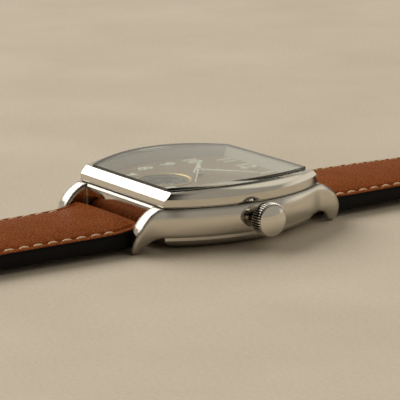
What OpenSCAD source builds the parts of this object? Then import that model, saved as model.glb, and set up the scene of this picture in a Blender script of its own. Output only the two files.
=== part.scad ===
// Tonneau wristwatch with an open dial over the balance, on a padded leather strap.
// Millimetres. +Z is up through the crystal, +X points to 3 o'clock, +Y to 12 o'clock.
// The origin is on the dial axis, in the flat plane of the case back.

/* [Case middle] */
// Gap between the inner faces of a pair of lugs
lug_width = 22; // [20:0.5:23]
// Length over the lug tips
lug_to_lug = 45.4; // [44.6:0.2:48]
// Half width of the case at its widest line
case_half_w = 19.1; // [18.7:0.1:21]
// Half length of the case between its two end walls
case_half_len = 17.6; // [17.3:0.1:17.9]
// How far beyond the middle the centre of each side arc lies
side_arc_offset = 12.5; // [9:0.5:18]
// Height of the underside of the case middle
case_bottom_z = 2.7; // [2.1:0.1:2.7]
// Height of the top of the case middle
case_top_z = 7.9; // [7.7:0.1:8]
// Height of the widest line of the case sides
widest_z = 5.6; // [4.8:0.1:6.4]
// Radius of the side bulge above the widest line
upper_bulge_r = 5.7; // [4.5:0.1:12]
// Radius of the side bulge below the widest line
lower_bulge_r = 8.3; // [6:0.1:16]
// Half width over the outer faces of the lugs
lug_outer_half_w = 13.5; // [13.2:0.1:14.5]
// Softness of the flow from the side arc into the lug
lug_blend = 0.8; // [0.3:0.1:2]
// Radius of the lug's top curve
lug_arc_r = 7.2; // [7.1:0.1:12]
// Radius of the rounded lug tip
lug_tip_r = 1.08; // [0.9:0.02:1.2]
// Radius of the lug tips' inner corners, seen from above
lug_corner_r = 1.3; // [0.8:0.1:2]
// Where the hollow under the lug starts
lug_hollow_start = 17.4; // [17:0.1:18]
// Wall between the end wall and the inside of the case
end_wall = 2.8; // [2.6:0.1:3]
// Half width of the inside of the case
cavity_half_w = 15.8; // [15.6:0.1:16]
// Bevel along the top of each end wall
ledge_bevel = 0.35; // [0.1:0.05:0.5]

/* [Bezel and crystal] */
// Half width of the bezel band
bezel_half_w = 18.7; // [18.4:0.1:19.4]
// Half length of the bezel band
bezel_half_len = 17.13; // [16.9:0.05:17.4]
// Depth of the shadow groove under the bezel
bezel_groove = 0.25; // [0.1:0.05:0.4]
// Height of the shadow groove
bezel_groove_h = 0.3; // [0.15:0.05:0.5]
// Height of the bezel band's upper edge
bezel_shoulder_z = 9.3; // [9:0.1:9.5]
// Radius of the rounded long sides of the bezel
bezel_round = 1.95; // [1.6:0.05:2]
// How far the end bevel leans in
bezel_bevel_run = 1.48; // [1:0.05:1.5]
// Radius of the lengthwise arch of the bezel's top
bezel_arch_r = 220; // [150:10:400]
// Half length of the crystal
crystal_half_len = 15.42; // [15.2:0.02:15.5]
// Half width of the crystal
crystal_half_w = 16.42; // [16.2:0.02:16.5]
// Height of the middle of the crystal
crystal_top_z = 11.85; // [11.7:0.05:12.6]
// Thickness of the middle of the crystal
crystal_t = 1.3; // [0.9:0.05:1.4]
// Radius of the crystal's lengthwise arch
crystal_arch_r = 162; // [140:1:400]
// Height of the ledge that carries the crystal
crystal_seat_z = 9.75; // [9.7:0.05:9.8]
// Width of that ledge
crystal_seat_w = 0.8; // [0.5:0.1:1]
// Thickness of the seal round the crystal
crystal_seal_t = 0.14; // [0.08:0.02:0.2]
// Half length of the flange ring at the dial
flange_half_len = 13.4; // [13.1:0.1:13.8]
// Half width of the flange ring at the dial
flange_half_w = 14.4; // [14.1:0.1:14.8]
// How far the flange ring leans outward
flange_lean = 0.9; // [0.5:0.1:0.9]

/* [Dial and hands] */
// Thickness of the dial
dial_t = 0.4; // [0.3:0.05:0.45]
// Radius of the opening in the dial
aperture_r = 4.8; // [4.3:0.1:5]
// Distance of that opening below the dial axis
aperture_y = 7.8; // [7.6:0.1:7.9]
// Width of the ring round the opening
aperture_ring_w = 0.5; // [0.3:0.05:0.6]
// Height of that ring above the dial
aperture_ring_h = 0.25; // [0.1:0.05:0.4]
// Length of the hour hand
hour_hand_len = 7.6; // [6:0.2:9]
// Length of the minute hand
minute_hand_len = 11.2; // [9:0.2:12.4]
// Length of the seconds hand
seconds_hand_len = 11.8; // [9:0.2:12.4]
// Thickness of each hand
hand_t = 0.15; // [0.1:0.01:0.2]
// Direction of the hour hand, clockwise from 12 o'clock
hour_angle = 304; // [0:1:359]
// Direction of the minute hand, clockwise from 12 o'clock
minute_angle = 48; // [0:1:359]
// Direction of the seconds hand, clockwise from 12 o'clock
seconds_angle = 128; // [0:1:359]

/* [Movement] */
// Radius of the movement
movement_r = 12.8; // [12.7:0.05:12.9]
// Height of the underside of the main plate
plate_bottom_z = 4.4; // [4.35:0.05:4.45]
// Height of the underside of the bridges
bridge_bottom_z = 3.2; // [3.1:0.05:3.3]
// Radius of the bridges' outer edge
bridge_r = 11.8; // [11.6:0.1:12.2]
// Distance of the balance below the dial axis
balance_y = 7.7; // [7.6:0.05:7.8]
// Outer radius of the balance rim
balance_r = 3.75; // [3.5:0.05:3.8]
// Width of the balance rim
balance_rim_w = 0.5; // [0.35:0.05:0.6]
// Number of screws round the balance rim
balance_screws = 12; // [6:1:16]
// Turns of the hairspring
spring_turns = 4; // [3:0.5:4]
// Pitch of the hairspring's turns
spring_pitch = 0.56; // [0.55:0.01:0.6]
// Thickness of the hairspring's wire
spring_wire = 0.12; // [0.08:0.01:0.14]
// Radius of the escape wheel over its teeth
escape_r = 1.8; // [1.6:0.05:1.85]
// Number of escape teeth
escape_teeth = 20; // [20:20:20]
// Radius of the fourth wheel
fourth_r = 2.5; // [2.4:0.05:2.55]
// Radius of the third wheel
third_r = 2.4; // [2.35:0.05:2.45]
// Radius of the second wheel
second_r = 2.25; // [2.2:0.05:2.3]
// Radius of the barrel over its teeth
barrel_r = 4.4; // [4.3:0.05:4.45]
// Radius of the rotor
rotor_r = 12.2; // [11.8:0.1:12.4]
// Width of the rotor's heavy rim
rotor_rim_w = 1.8; // [1.4:0.1:2.2]

/* [Crown] */
// Radius of the crown over its flutes
crown_r = 3.1; // [2.7:0.1:3.2]
// Length of the crown
crown_len = 3.3; // [2.9:0.05:3.6]
// Gap between the case side and the crown
crown_gap = 0.8; // [0.15:0.05:1]
// Number of flutes
crown_flutes = 42; // [24:2:42]
// Radius of each flute
flute_r = 0.18; // [0.1:0.01:0.2]
// Height of the stem axis
stem_z = 5.25; // [5.2:0.05:5.3]
// How far the crown pulls out
crown_travel = 1.2; // [0.6:0.1:1.4]

/* [Case back] */
// Half length of the case back
back_half_len = 16.4; // [16.3:0.1:16.5]
// Half width of the case back
back_half_w = 17.8; // [17.2:0.1:17.8]
// Width of the chamfer round the case back
back_chamfer = 3.1; // [2.6:0.1:3.2]
// Thickness of the case back's floor
back_floor = 1.1; // [1.05:0.05:1.2]
// Radius of the case back window
window_r = 10.6; // [9.5:0.1:10.9]
// Thickness of the window glass
window_t = 0.88; // [0.7:0.02:0.9]

/* [Strap] */
// Distance of each spring bar from the dial axis
bar_y = 20.2; // [20.1:0.05:20.3]
// Height of the spring bars
bar_z = 3; // [2.95:0.05:3.1]
// Radius of the spring bars
bar_r = 0.75; // [0.6:0.05:0.8]
// Length of the buckle half, from spring bar to buckle bar
short_len = 75; // [70:1:85]
// Length of the half with holes, from spring bar to tip
long_len = 118; // [110:1:128]
// Half width of the strap at the buckle and the tip
strap_end_half_w = 9; // [8:0.25:9.5]
// Gap between the strap and each lug
strap_side_gap = 0.2; // [0.15:0.05:0.4]
// Radius of the folded end round the spring bar
fold_r = 1.95; // [1.8:0.05:2]
// Extra fold radius in the middle of the strap
fold_crown = 0.25; // [0.1:0.05:0.3]
// Thickness of the leather at the edges
leather_edge_t = 0.6; // [0.4:0.05:0.8]
// Thickness of the lining and filler next to the case
lining_t = 2.5; // [2.2:0.1:2.6]
// Thickness of the lining and filler at the far ends
lining_end_t = 1.5; // [1.2:0.1:1.6]
// Height of the padding in the middle, next to the case
pad_h = 0.9; // [0.5:0.1:1.3]
// Height of the padding at the far ends
pad_end_h = 0.25; // [0.1:0.05:0.4]
// Distance of the padding's foot from the strap's edge
pad_inset = 1.4; // [1:0.1:2]
// Number of holes in the long half
strap_holes = 7; // [5:1:8]
// Distance between holes
hole_pitch = 6.5; // [6:0.5:7]
// Radius of each hole
hole_r = 0.95; // [0.8:0.05:1.1]
// Distance of the first hole from the tip
hole_start = 25; // [22:1:28]
// Length of the pointed tip
tip_len = 12; // [9:1:15]

/* [Keepers and buckle] */
// Width of each keeper along the strap
keeper_w = 5; // [4:0.5:6]
// Thickness of the keepers
keeper_t = 1; // [0.8:0.1:1.1]
// Height inside the keepers
keeper_h = 4.8; // [4.6:0.1:5.2]
// Distance of the fixed keeper from the buckle bar
fixed_keeper_u = 9; // [8.5:0.5:10]
// Distance between the two keepers' middles
keeper_gap = 8; // [7:0.5:10]
// Travel of the free keeper
keeper_travel = 12; // [6:1:12]
// Radius of the buckle bar
buckle_bar_r = 0.7; // [0.55:0.05:0.75]
// Width of each buckle arm
buckle_arm_w = 1.75; // [1.4:0.05:2]
// Length of the buckle from its bar to its front edge
buckle_len = 13; // [12:0.5:14]
// Thickness of the buckle's front bar
buckle_t = 1.9; // [1.6:0.1:2]
// Width of the tang
tang_w = 2.2; // [1.8:0.1:2.4]

/* [Hidden] */
$fn = 96;

steel = [0.80, 0.79, 0.76];
gilt = [0.80, 0.66, 0.38];
ruby = [0.62, 0.08, 0.18];
plate_grey = [0.62, 0.62, 0.60];
tan_leather = [0.55, 0.30, 0.17];
black_edge = [0.08, 0.07, 0.07];

// Small clearances
seat_gap = 0.02;
run_gap = 0.04;
mesh_gap = 0.03;
hand_gap = 0.25;
over = 1;

// Case middle
lug_tip_y = lug_to_lug / 2;
lug_top_start = [case_half_len + 0.15, case_top_z];
lug_top_end = [lug_tip_y, lug_tip_r];
lug_arc_at = arc_centre(lug_top_start, lug_top_end, lug_arc_r);
hollow_run = lug_tip_y - 2 * lug_tip_r - lug_hollow_start;
hollow_rise = case_bottom_z - lug_tip_r;
hollow_r = (hollow_run * hollow_run + hollow_rise * hollow_rise) / (2 * hollow_rise);
cavity_half_len = case_half_len - end_wall;
loft_steps = 34;
loft_levels = 9;
loft_half_len = lug_tip_y + over;
loft_low_z = -0.4;
loft_high_z = case_top_z + 0.5;
bar_tip_r = bar_r / 2;
bar_tip_len = 0.9;
corner_bite = 0.05;

// Bezel
foot_z = case_top_z + bezel_groove_h;
band_lean = 0.15;
pocket_half_len = crystal_half_len + crystal_seal_t + 2 * seat_gap;
pocket_half_w = crystal_half_w + crystal_seal_t + 2 * seat_gap;
opening_half_len = pocket_half_len - crystal_seat_w;
opening_half_w = pocket_half_w - crystal_seat_w;
bezel_top_z = bezel_shoulder_z + bezel_round;
crystal_seal_h = 0.4;

// Dial and movement levels
dial_z = case_top_z + 0.05;
dial_top_z = dial_z + dial_t;
dial_half_len = cavity_half_len - 0.1;
dial_half_w = cavity_half_w - 0.1;
flange_top_z = crystal_seat_z - 0.05;
motion_floor_z = dial_z - 0.75;
web_z = 6.2;
escapement_roof_z = 6.6;
open_bridge_z = 6.85;
open_bridge_t = 0.65;
open_bridge_half_w = 0.75;
open_bridge_end_y = movement_r - 0.1;
open_bridge_wing = [3.4, -3.9];
hole_slack = 0.1;

// Gear train: radii of the pinions, places of the arbors and levels of the wheels
fourth_pinion_r = 0.34;
third_pinion_r = 0.3;
escape_pinion_r = 0.3;
second_pinion_r = 0.7;
arbor_r = 0.12;
barrel_arbor_r = 0.35;
wheel_t = 0.12;
escape_at = [0, -(fourth_r + escape_pinion_r + mesh_gap)];
pallet_at = [0, escape_at[1] - escape_r - 0.4];
balance_at = [0, -balance_y];
third_dir = -20;
second_dir = 75;
third_at = polar(third_r + fourth_pinion_r + mesh_gap, third_dir);
second_at = third_at + polar(second_r + third_pinion_r + mesh_gap, second_dir);
barrel_dir = 112;
barrel_at = second_at + polar(barrel_r + second_pinion_r + mesh_gap, barrel_dir);
barrel_teeth_z = 4.5;
barrel_top_z = 5;
barrel_bottom_z = 3.95;
third_z = 4.85;
second_z = 5.1;
fourth_z = 5.4;
escape_z = 6;
pallet_z = 5.95;
pallet_bridge_z = 5.5;
pallet_bridge_t = 0.25;
pallet_foot_r = 0.75;
pallet_foot_at = balance_at + polar(5.4, 33);
balance_z = 4.9;
balance_t = 0.4;
spring_z = 4.42;
roller_z = 5.6;
roller_pin_r = 0.08;
roller_pin_at = 0.5;
staff_r = 0.25;
staff_top_z = open_bridge_z + open_bridge_t - 0.1;
aperture_pocket_r = 4.5;
jewel_r = 0.5;

// Hands
cannon_r = 0.5;
hour_tube_r = 0.75;
hour_z = dial_top_z + 0.5;
minute_z = hour_z + hand_t + hand_gap;
seconds_z = minute_z + hand_t + hand_gap;
cannon_bottom_z = motion_floor_z + 0.1;
hour_wheel_z = motion_floor_z + 0.15;

// Crown and stem
stem_r = 0.6;
tube_bore_r = stem_r + 0.08;
tube_r = 1.25;
crown_start_x = case_half_w + crown_gap;
crown_end_x = crown_start_x + crown_len;
crown_bore_r = tube_r + 0.15;
crown_bore_len = 2.3;
crown_rim = 0.45;
crown_dome = 0.5;
tube_out = 2;
square_half = 0.4;
pinion_x = 6.7;
pinion_len = 1.6;
pinion_r = 0.8;
keyless_x = 6.2;
keyless_len = 2.5;
stem_tip_x = 6.35;

// Case back
back_step = 0.5;
back_band = 0.8;
lip_gap = 0.4;
lip_w = 0.8;
lip_h = 0.8;
screw_x = 9;
screw_head_r = 0.6;
screw_r = 0.4;
screw_y = cavity_half_len + screw_r + 0.2;
screw_head_z = 1.15;
screw_head_h = 0.6;
screw_len = 2.4;

// Strap
strap_half_w = lug_width / 2 - strap_side_gap;
strap_bottom_z = bar_z - fold_r;
bar_bore_r = bar_r + 0.08;
step_u = 1;
tiny = 0.02;
fold_rings = 5;
top_points = 11;
short_end_z = 1.25;
buckle_bar_z = short_end_z + (lining_end_t + leather_edge_t + 0.5) / 2;
end_fold_r = buckle_bar_z - short_end_z;
rise_start = 32;
rise_end = 60;
slot_w = tang_w + 0.4;
slot_len = 6;
short_stations = [for (i = [0 : 22]) step_u + tiny + i * (short_len - 2 * step_u - 2 * tiny) / 22];
tip_start = long_len - tip_len;
long_stations = concat([for (i = [0 : 24]) step_u + tiny + i * (tip_start - step_u - tiny) / 24],
    [for (i = [1 : 8]) tip_start + tip_len * sin(i * 89 / 8)]);

// Keepers and buckle
keeper_corner_r = 1.2;
free_keeper_u = short_len - fixed_keeper_u - keeper_gap;
buckle_y = bar_y + short_len;
buckle_inner = strap_end_half_w + 0.15;
buckle_outer = buckle_inner + buckle_arm_w;
front_arc_r = 30;
front_y = buckle_y + buckle_len;
front_w = 2.2;
tang_over = 0.9;

function polar(r, a) = [r * cos(a), r * sin(a)];
function arc_centre(a, b, r) = let (h = norm(b - a) / 2, n = [a[1] - b[1], b[0] - a[0]] / (2 * h))
    (a + b) / 2 - n * sqrt(r * r - h * h);
function smooth_max(a, b, k) = (a + b + sqrt((a - b) * (a - b) + k * k)) / 2;
function arc_half_w(y, half_w) = sqrt(pow(half_w + side_arc_offset, 2) - y * y) - side_arc_offset;
function side_w(y) = smooth_max(arc_half_w(y, case_half_w), lug_outer_half_w, lug_blend);
function bulge(z) = pow(z - widest_z, 2) / (2 * (z > widest_z ? upper_bulge_r : lower_bulge_r));
function smooth_step(t) = t <= 0 ? 0 : t >= 1 ? 1 : t * t * (3 - 2 * t);
function mix(a, b, t) = a + (b - a) * t;

// Tonneau outline: straight ends and two side arcs
module tonneau(half_len, half_w) {
    intersection() {
        translate([-side_arc_offset, 0]) circle(half_w + side_arc_offset);
        translate([side_arc_offset, 0]) circle(half_w + side_arc_offset);
        square([2 * half_w, 2 * half_len], center = true);
    }
}

module tonneau_block(half_len, half_w, low, high) {
    translate([0, 0, low]) linear_extrude(high - low) tonneau(half_len, half_w);
}

// Tonneau body: child 0 is the side profile, from the arc's centre outward, child 1 the end profile
module tonneau_form(half_w) {
    intersection() {
        translate([-side_arc_offset, 0, 0]) rotate_extrude() children(0);
        translate([side_arc_offset, 0, 0]) rotate_extrude() children(0);
        rotate([90, 0, 90]) linear_extrude(2 * half_w + 2 * over, center = true) children(1);
    }
}

module along_x(x, len, r) {
    translate([x, 0, 0]) rotate([0, 90, 0]) cylinder(h = len, r = r);
}

module at(place, z) {
    translate([place[0], place[1], z]) children();
}

module ring(place, z, h, r_out, r_in) {
    at(place, z) difference() {
        cylinder(h = h, r = r_out);
        translate([0, 0, -over]) cylinder(h = h + 2 * over, r = r_in);
    }
}

// Long solid limited by the lengthwise arch whose top is at the given height
module arch(top_z, arch_r) {
    rotate([90, 0, 90]) translate([0, 0, -case_half_w - over])
        linear_extrude(2 * case_half_w + 2 * over) intersection() {
            translate([0, top_z - arch_r]) circle(arch_r, $fn = 360);
            translate([-case_half_len - over, 0]) square([2 * case_half_len + 2 * over, top_z + over]);
        }
}

// Case middle

module lug_outline() {
    difference() {
        union() {
            intersection() {
                translate(lug_arc_at) circle(lug_arc_r);
                translate([lug_hollow_start, lug_tip_r]) square([lug_tip_y, case_top_z - lug_tip_r]);
            }
            translate([lug_tip_y - lug_tip_r, lug_tip_r]) circle(lug_tip_r);
        }
        translate([lug_hollow_start, case_bottom_z - hollow_r]) circle(hollow_r);
    }
}

module case_outline_from_side() {
    translate([-case_half_len, case_bottom_z]) square([2 * case_half_len, case_top_z - case_bottom_z]);
    lug_outline();
    mirror([1, 0]) lug_outline();
}

module side_loft() {
    ys = [for (i = [0 : loft_steps]) mix(-loft_half_len, loft_half_len, i / loft_steps)];
    zs = [for (k = [0 : loft_levels]) mix(loft_low_z, loft_high_z, k / loft_levels)];
    count = 2 * len(ys);
    points = [for (z = zs) each concat(
        [for (y = ys) [side_w(y) - bulge(z), y, z]],
        [for (i = [loft_steps : -1 : 0]) [bulge(z) - side_w(ys[i]), ys[i], z]])];
    top = loft_levels * count;
    faces = concat(
        [for (i = [0 : loft_steps - 1]) each [[i, i + 1, count - 2 - i], [i, count - 2 - i, count - 1 - i]]],
        [for (k = [0 : loft_levels - 1]) for (i = [0 : count - 1])
            [k * count + i, (k + 1) * count + (i + 1) % count, k * count + (i + 1) % count]],
        [for (k = [0 : loft_levels - 1]) for (i = [0 : count - 1])
            [k * count + i, (k + 1) * count + i, (k + 1) * count + (i + 1) % count]],
        [for (i = [0 : loft_steps - 1]) each [[top + i, top + count - 2 - i, top + i + 1],
            [top + i, top + count - 1 - i, top + count - 2 - i]]]);
    polyhedron(points, faces);
}

// The gap between a pair of lugs, with the bevel along the top of the end wall
module lug_gap() {
    l = case_half_len;
    z = case_top_z;
    rotate([90, 0, 90]) linear_extrude(lug_width, center = true)
        polygon([[l, -over], [l, z - ledge_bevel], [l - ledge_bevel, z], [l - ledge_bevel, z + over],
            [lug_tip_y + over, z + over], [lug_tip_y + over, -over]]);
}

// What the rounding of one lug's inner corner takes away
module lug_corner() {
    r = lug_corner_r;
    translate([0, 0, -over]) linear_extrude(case_top_z) difference() {
        translate([lug_width / 2 - over, lug_tip_y - r + corner_bite]) square([r + over, r + over]);
        translate([lug_width / 2 + r - corner_bite, lug_tip_y - r + corner_bite]) circle(r);
    }
}

module spring_bar_sockets() {
    for (side = [-1, 1]) translate([0, side * bar_y, bar_z])
        along_x(-lug_width / 2 - bar_tip_len - hole_slack, lug_width + 2 * bar_tip_len + 2 * hole_slack,
            bar_tip_r + run_gap);
}

module back_screw_places() {
    for (x = [-screw_x, screw_x]) for (y = [-screw_y, screw_y]) translate([x, y, 0]) children();
}

module case_middle() {
    color(steel) difference() {
        intersection() {
            side_loft();
            rotate([90, 0, 90]) linear_extrude(2 * case_half_w + 2 * over, center = true)
                case_outline_from_side();
        }
        lug_gap();
        mirror([0, 1, 0]) lug_gap();
        for (x = [0, 1]) for (y = [0, 1]) mirror([x, 0, 0]) mirror([0, y, 0]) lug_corner();
        tonneau_block(cavity_half_len, cavity_half_w, case_bottom_z - over, case_top_z + over);
        translate([0, 0, stem_z]) along_x(cavity_half_w - over, 2 * over + 4, tube_r);
        spring_bar_sockets();
        back_screw_places() translate([0, 0, case_bottom_z - over])
            cylinder(h = screw_len + over, r = screw_r + seat_gap);
    }
}

// Bezel, crystal and flange

module bezel_side() {
    r = side_arc_offset + bezel_half_w;
    translate([0, case_top_z]) square([r - bezel_groove, bezel_groove_h]);
    translate([0, foot_z]) square([r, bezel_shoulder_z - foot_z]);
    translate([0, foot_z]) square([r - bezel_round, bezel_top_z - foot_z]);
    intersection() {
        translate([r - bezel_round, bezel_shoulder_z]) circle(bezel_round);
        translate([0, bezel_shoulder_z]) square([r, bezel_round]);
    }
}

module bezel_end() {
    l = bezel_half_len;
    in = bezel_groove;
    top = bezel_half_len - bezel_bevel_run;
    polygon([[-l + in, case_top_z], [l - in, case_top_z], [l - in, foot_z], [l, foot_z],
        [l - band_lean, bezel_shoulder_z], [top, bezel_top_z - bezel_round / 4], [top, bezel_top_z + over],
        [-top, bezel_top_z + over], [-top, bezel_top_z - bezel_round / 4],
        [band_lean - l, bezel_shoulder_z], [-l, foot_z], [in - l, foot_z]]);
}

module bezel() {
    color(steel) difference() {
        intersection() {
            tonneau_form(bezel_half_w) {
                bezel_side();
                bezel_end();
            }
            arch(bezel_top_z, bezel_arch_r);
        }
        tonneau_block(opening_half_len, opening_half_w, case_top_z - over, crystal_top_z);
        tonneau_block(pocket_half_len, pocket_half_w, crystal_seat_z, crystal_top_z);
    }
}

module crystal() {
    color([0.85, 0.87, 0.85, 0.4]) difference() {
        intersection() {
            tonneau_block(crystal_half_len, crystal_half_w, crystal_seat_z, crystal_top_z + over);
            arch(crystal_top_z, crystal_arch_r);
        }
        intersection() {
            tonneau_block(opening_half_len, opening_half_w, crystal_seat_z - over, crystal_top_z);
            arch(crystal_top_z - crystal_t, crystal_arch_r);
        }
    }
}

module crystal_seal() {
    color(black_edge) difference() {
        tonneau_block(pocket_half_len - seat_gap, pocket_half_w - seat_gap,
            crystal_seat_z, crystal_seat_z + crystal_seal_h);
        tonneau_block(crystal_half_len + seat_gap, crystal_half_w + seat_gap,
            crystal_seat_z - over, crystal_top_z);
    }
}

module flange_ring() {
    low = dial_top_z;
    high = flange_top_z;
    color(plate_grey) difference() {
        tonneau_block(opening_half_len - 2 * seat_gap, opening_half_w - 2 * seat_gap, low, high);
        tonneau_form(opening_half_w) {
            polygon([[0, low - over], [side_arc_offset + flange_half_w, low - over],
                [side_arc_offset + flange_half_w, low],
                [side_arc_offset + flange_half_w + flange_lean, high],
                [side_arc_offset + flange_half_w + flange_lean, high + over], [0, high + over]]);
            polygon([[-flange_half_len, low - over], [flange_half_len, low - over], [flange_half_len, low],
                [flange_half_len + flange_lean, high], [flange_half_len + flange_lean, high + over],
                [-flange_half_len - flange_lean, high + over], [-flange_half_len - flange_lean, high],
                [-flange_half_len, low]]);
        }
    }
}

module dial() {
    color([0.72, 0.70, 0.64]) difference() {
        union() {
            tonneau_block(dial_half_len, dial_half_w, dial_z, dial_top_z);
            dial_feet(0);
        }
        translate([0, 0, dial_z - over]) cylinder(h = dial_t + 2 * over, r = hour_tube_r + hole_slack);
        translate([0, -aperture_y, dial_z - over]) cylinder(h = dial_t + 2 * over, r = aperture_r);
    }
}

module open_heart_ring() {
    color(gilt) translate([0, -aperture_y, 0]) rotate_extrude() polygon([
        [aperture_r, dial_top_z], [aperture_r + aperture_ring_w, dial_top_z],
        [aperture_r + aperture_ring_w, dial_top_z + aperture_ring_h / 2],
        [aperture_r + aperture_ring_w / 2, dial_top_z + aperture_ring_h],
        [aperture_r, dial_top_z + aperture_ring_h / 2]]);
}

// Case back

module case_back() {
    w = side_arc_offset + back_half_w;
    z = case_bottom_z;
    color(steel) difference() {
        union() {
            tonneau_form(back_half_w) {
                polygon([[0, 0], [w - back_chamfer, 0], [w - back_step, z / 2 - 0.1], [w, z - back_band],
                    [w, z], [0, z]]);
                polygon([[back_chamfer - back_half_len, 0], [back_half_len - back_chamfer, 0],
                    [back_half_len - back_step, z / 2 - 0.1], [back_half_len, z - back_band],
                    [back_half_len, z], [-back_half_len, z], [-back_half_len, z - back_band],
                    [back_step - back_half_len, z / 2 - 0.1]]);
            }
            tonneau_block(cavity_half_len - lip_gap, cavity_half_w - lip_gap, z - over / 2, z + lip_h);
        }
        tonneau_block(cavity_half_len - lip_gap - lip_w, cavity_half_w - lip_gap - lip_w, z, z + over);
        translate([0, 0, back_floor]) cylinder(h = z, r = rotor_r + 0.7);
        translate([0, 0, -over]) cylinder(h = 2 * over + z, r = window_r - 0.7);
        translate([0, 0, -over]) cylinder(h = window_t + over, r = window_r);
        back_screw_places() translate([0, 0, -over]) cylinder(h = z + 2 * over, r = screw_r + hole_slack);
        back_screw_places() translate([0, 0, -over])
            cylinder(h = screw_head_z + screw_head_h + over, r = screw_head_r + hole_slack / 2);
    }
}

module case_back_window() {
    color([0.85, 0.87, 0.85, 0.4]) cylinder(h = window_t, r = window_r - seat_gap);
}

module case_back_seal() {
    color(black_edge) difference() {
        tonneau_block(cavity_half_len - seat_gap, cavity_half_w - seat_gap,
            case_bottom_z + seat_gap, case_bottom_z + lip_h * 0.7);
        tonneau_block(cavity_half_len - lip_gap + seat_gap, cavity_half_w - lip_gap + seat_gap,
            case_bottom_z - over, case_bottom_z + over);
    }
}

module case_back_screws() {
    color(steel) back_screw_places() difference() {
        union() {
            translate([0, 0, screw_head_z]) cylinder(h = screw_head_h, r = screw_head_r);
            translate([0, 0, screw_head_z]) cylinder(h = case_bottom_z + screw_len - screw_head_z - 0.1,
                r = screw_r);
        }
        translate([-over, -0.1, screw_head_z - over]) cube([2 * over, 0.2, over + 0.2]);
    }
}

// Movement plates and bridges

module movement_ring() {
    low = case_bottom_z + lip_h + seat_gap;
    color(plate_grey) difference() {
        tonneau_block(cavity_half_len - 0.1, cavity_half_w - 0.1, low, dial_z);
        translate([0, 0, low - over]) cylinder(h = dial_z, r = movement_r + seat_gap);
        translate([0, 0, stem_z]) along_x(movement_r - over, cavity_half_w, stem_r + 0.15);
    }
}

module train_pockets(low, high) {
    for (spot = [[[0, 0], fourth_r], [third_at, third_r], [second_at, second_r], [barrel_at, barrel_r]])
        at(spot[0], low) cylinder(h = high - low, r = spot[1] + 0.2);
}

module main_plate() {
    color(plate_grey) difference() {
        at([0, 0], plate_bottom_z) cylinder(h = dial_z - plate_bottom_z, r = movement_r);
        train_pockets(plate_bottom_z - over, web_z);
        at(escape_at, plate_bottom_z - over) cylinder(h = escapement_roof_z - plate_bottom_z + over,
            r = escape_r + 0.25);
        at(balance_at, plate_bottom_z - over) cylinder(h = dial_z, r = aperture_pocket_r);
        at([0, 0], open_bridge_z) linear_extrude(dial_z) open_bridge_outline(2 * seat_gap);
        at([0, 0], plate_bottom_z - over)
            linear_extrude(pallet_bridge_z + pallet_bridge_t - plate_bottom_z + over)
                pallet_bridge_outline(2 * seat_gap);
        at([0, 0], motion_floor_z) cylinder(h = dial_z, r = 2.9);
        at([0, 0], plate_bottom_z) cylinder(h = dial_z, r = arbor_r + run_gap);
        at(barrel_at, web_z - over) cylinder(h = over + 0.6, r = barrel_arbor_r + run_gap);
        translate([keyless_x, -pinion_r - 0.3, plate_bottom_z - over])
            cube([keyless_len, 2 * pinion_r + 0.6, stem_z + pinion_r + 0.2 - plate_bottom_z + over]);
        translate([0, 0, stem_z]) along_x(keyless_x, movement_r, stem_r + run_gap);
        for (place = [third_at, second_at, escape_at]) at(place, web_z - over) cylinder(h = 3, r = jewel_r);
        for (place = bridge_screw_places) at(place, plate_bottom_z - over) cylinder(h = over + 1, r = 0.37);
        for (x = [-1, 1]) at([x * open_bridge_wing[0], open_bridge_wing[1]], open_bridge_z - 0.9)
            cylinder(h = over, r = 0.32);
        at(pallet_foot_at, pallet_bridge_z) cylinder(h = 0.8, r = 0.27);
        dial_feet(0.03);
    }
}

// Bar and cross arm of the bridge that shows through the dial's opening
module open_bridge_outline(slack) {
    translate([-open_bridge_half_w - slack, -open_bridge_end_y])
        square([2 * (open_bridge_half_w + slack), open_bridge_end_y + open_bridge_wing[1]]);
    translate([-open_bridge_wing[0], open_bridge_wing[1] - 0.4 - slack])
        square([2 * open_bridge_wing[0], 0.8 + 2 * slack]);
    for (x = [-1, 1]) translate([x * open_bridge_wing[0], open_bridge_wing[1]])
        circle(open_bridge_half_w + slack);
    translate(balance_at) circle(1.3);
    translate(pallet_at) circle(1);
}

module pallet_bridge_outline(slack) {
    reach = pallet_foot_at - pallet_at;
    translate(pallet_at) circle(0.8 + slack);
    translate(pallet_foot_at) circle(pallet_foot_r + slack);
    translate(pallet_at) rotate(atan2(reach[1], reach[0])) translate([0, -0.5 - slack])
        square([norm(reach), 1 + 2 * slack]);
}

module dial_feet(slack) {
    for (a = [45, 225]) at(polar(11.2, a), dial_z - 1 - slack) cylinder(h = 1 + 2 * slack, r = 0.35 + slack);
}

module bridge_blank() {
    at([0, 0], bridge_bottom_z) cylinder(h = plate_bottom_z - bridge_bottom_z, r = bridge_r);
}

module bridge_holes(places) {
    for (place = places) at(place, bridge_bottom_z - over) cylinder(h = 3 * over, r = jewel_r);
}

module screw_holes(places) {
    for (place = places) {
        at(place, bridge_bottom_z - over) cylinder(h = 3 * over, r = 0.35 + seat_gap);
        at(place, bridge_bottom_z - over) cylinder(h = over + 0.46, r = 0.75 + seat_gap);
    }
}

barrel_bridge_screws = [[-7.5, 6.5], [7.8, 6.8]];
train_bridge_screws = [[9.6, -2.6], [-6.2, 0.6]];
cock_screws = [[-9.4, -balance_y + 2.4]];
bridge_screw_places = concat(barrel_bridge_screws, train_bridge_screws, cock_screws);
bridge_split_y = 2.9;
split_gap = 0.12;

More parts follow.
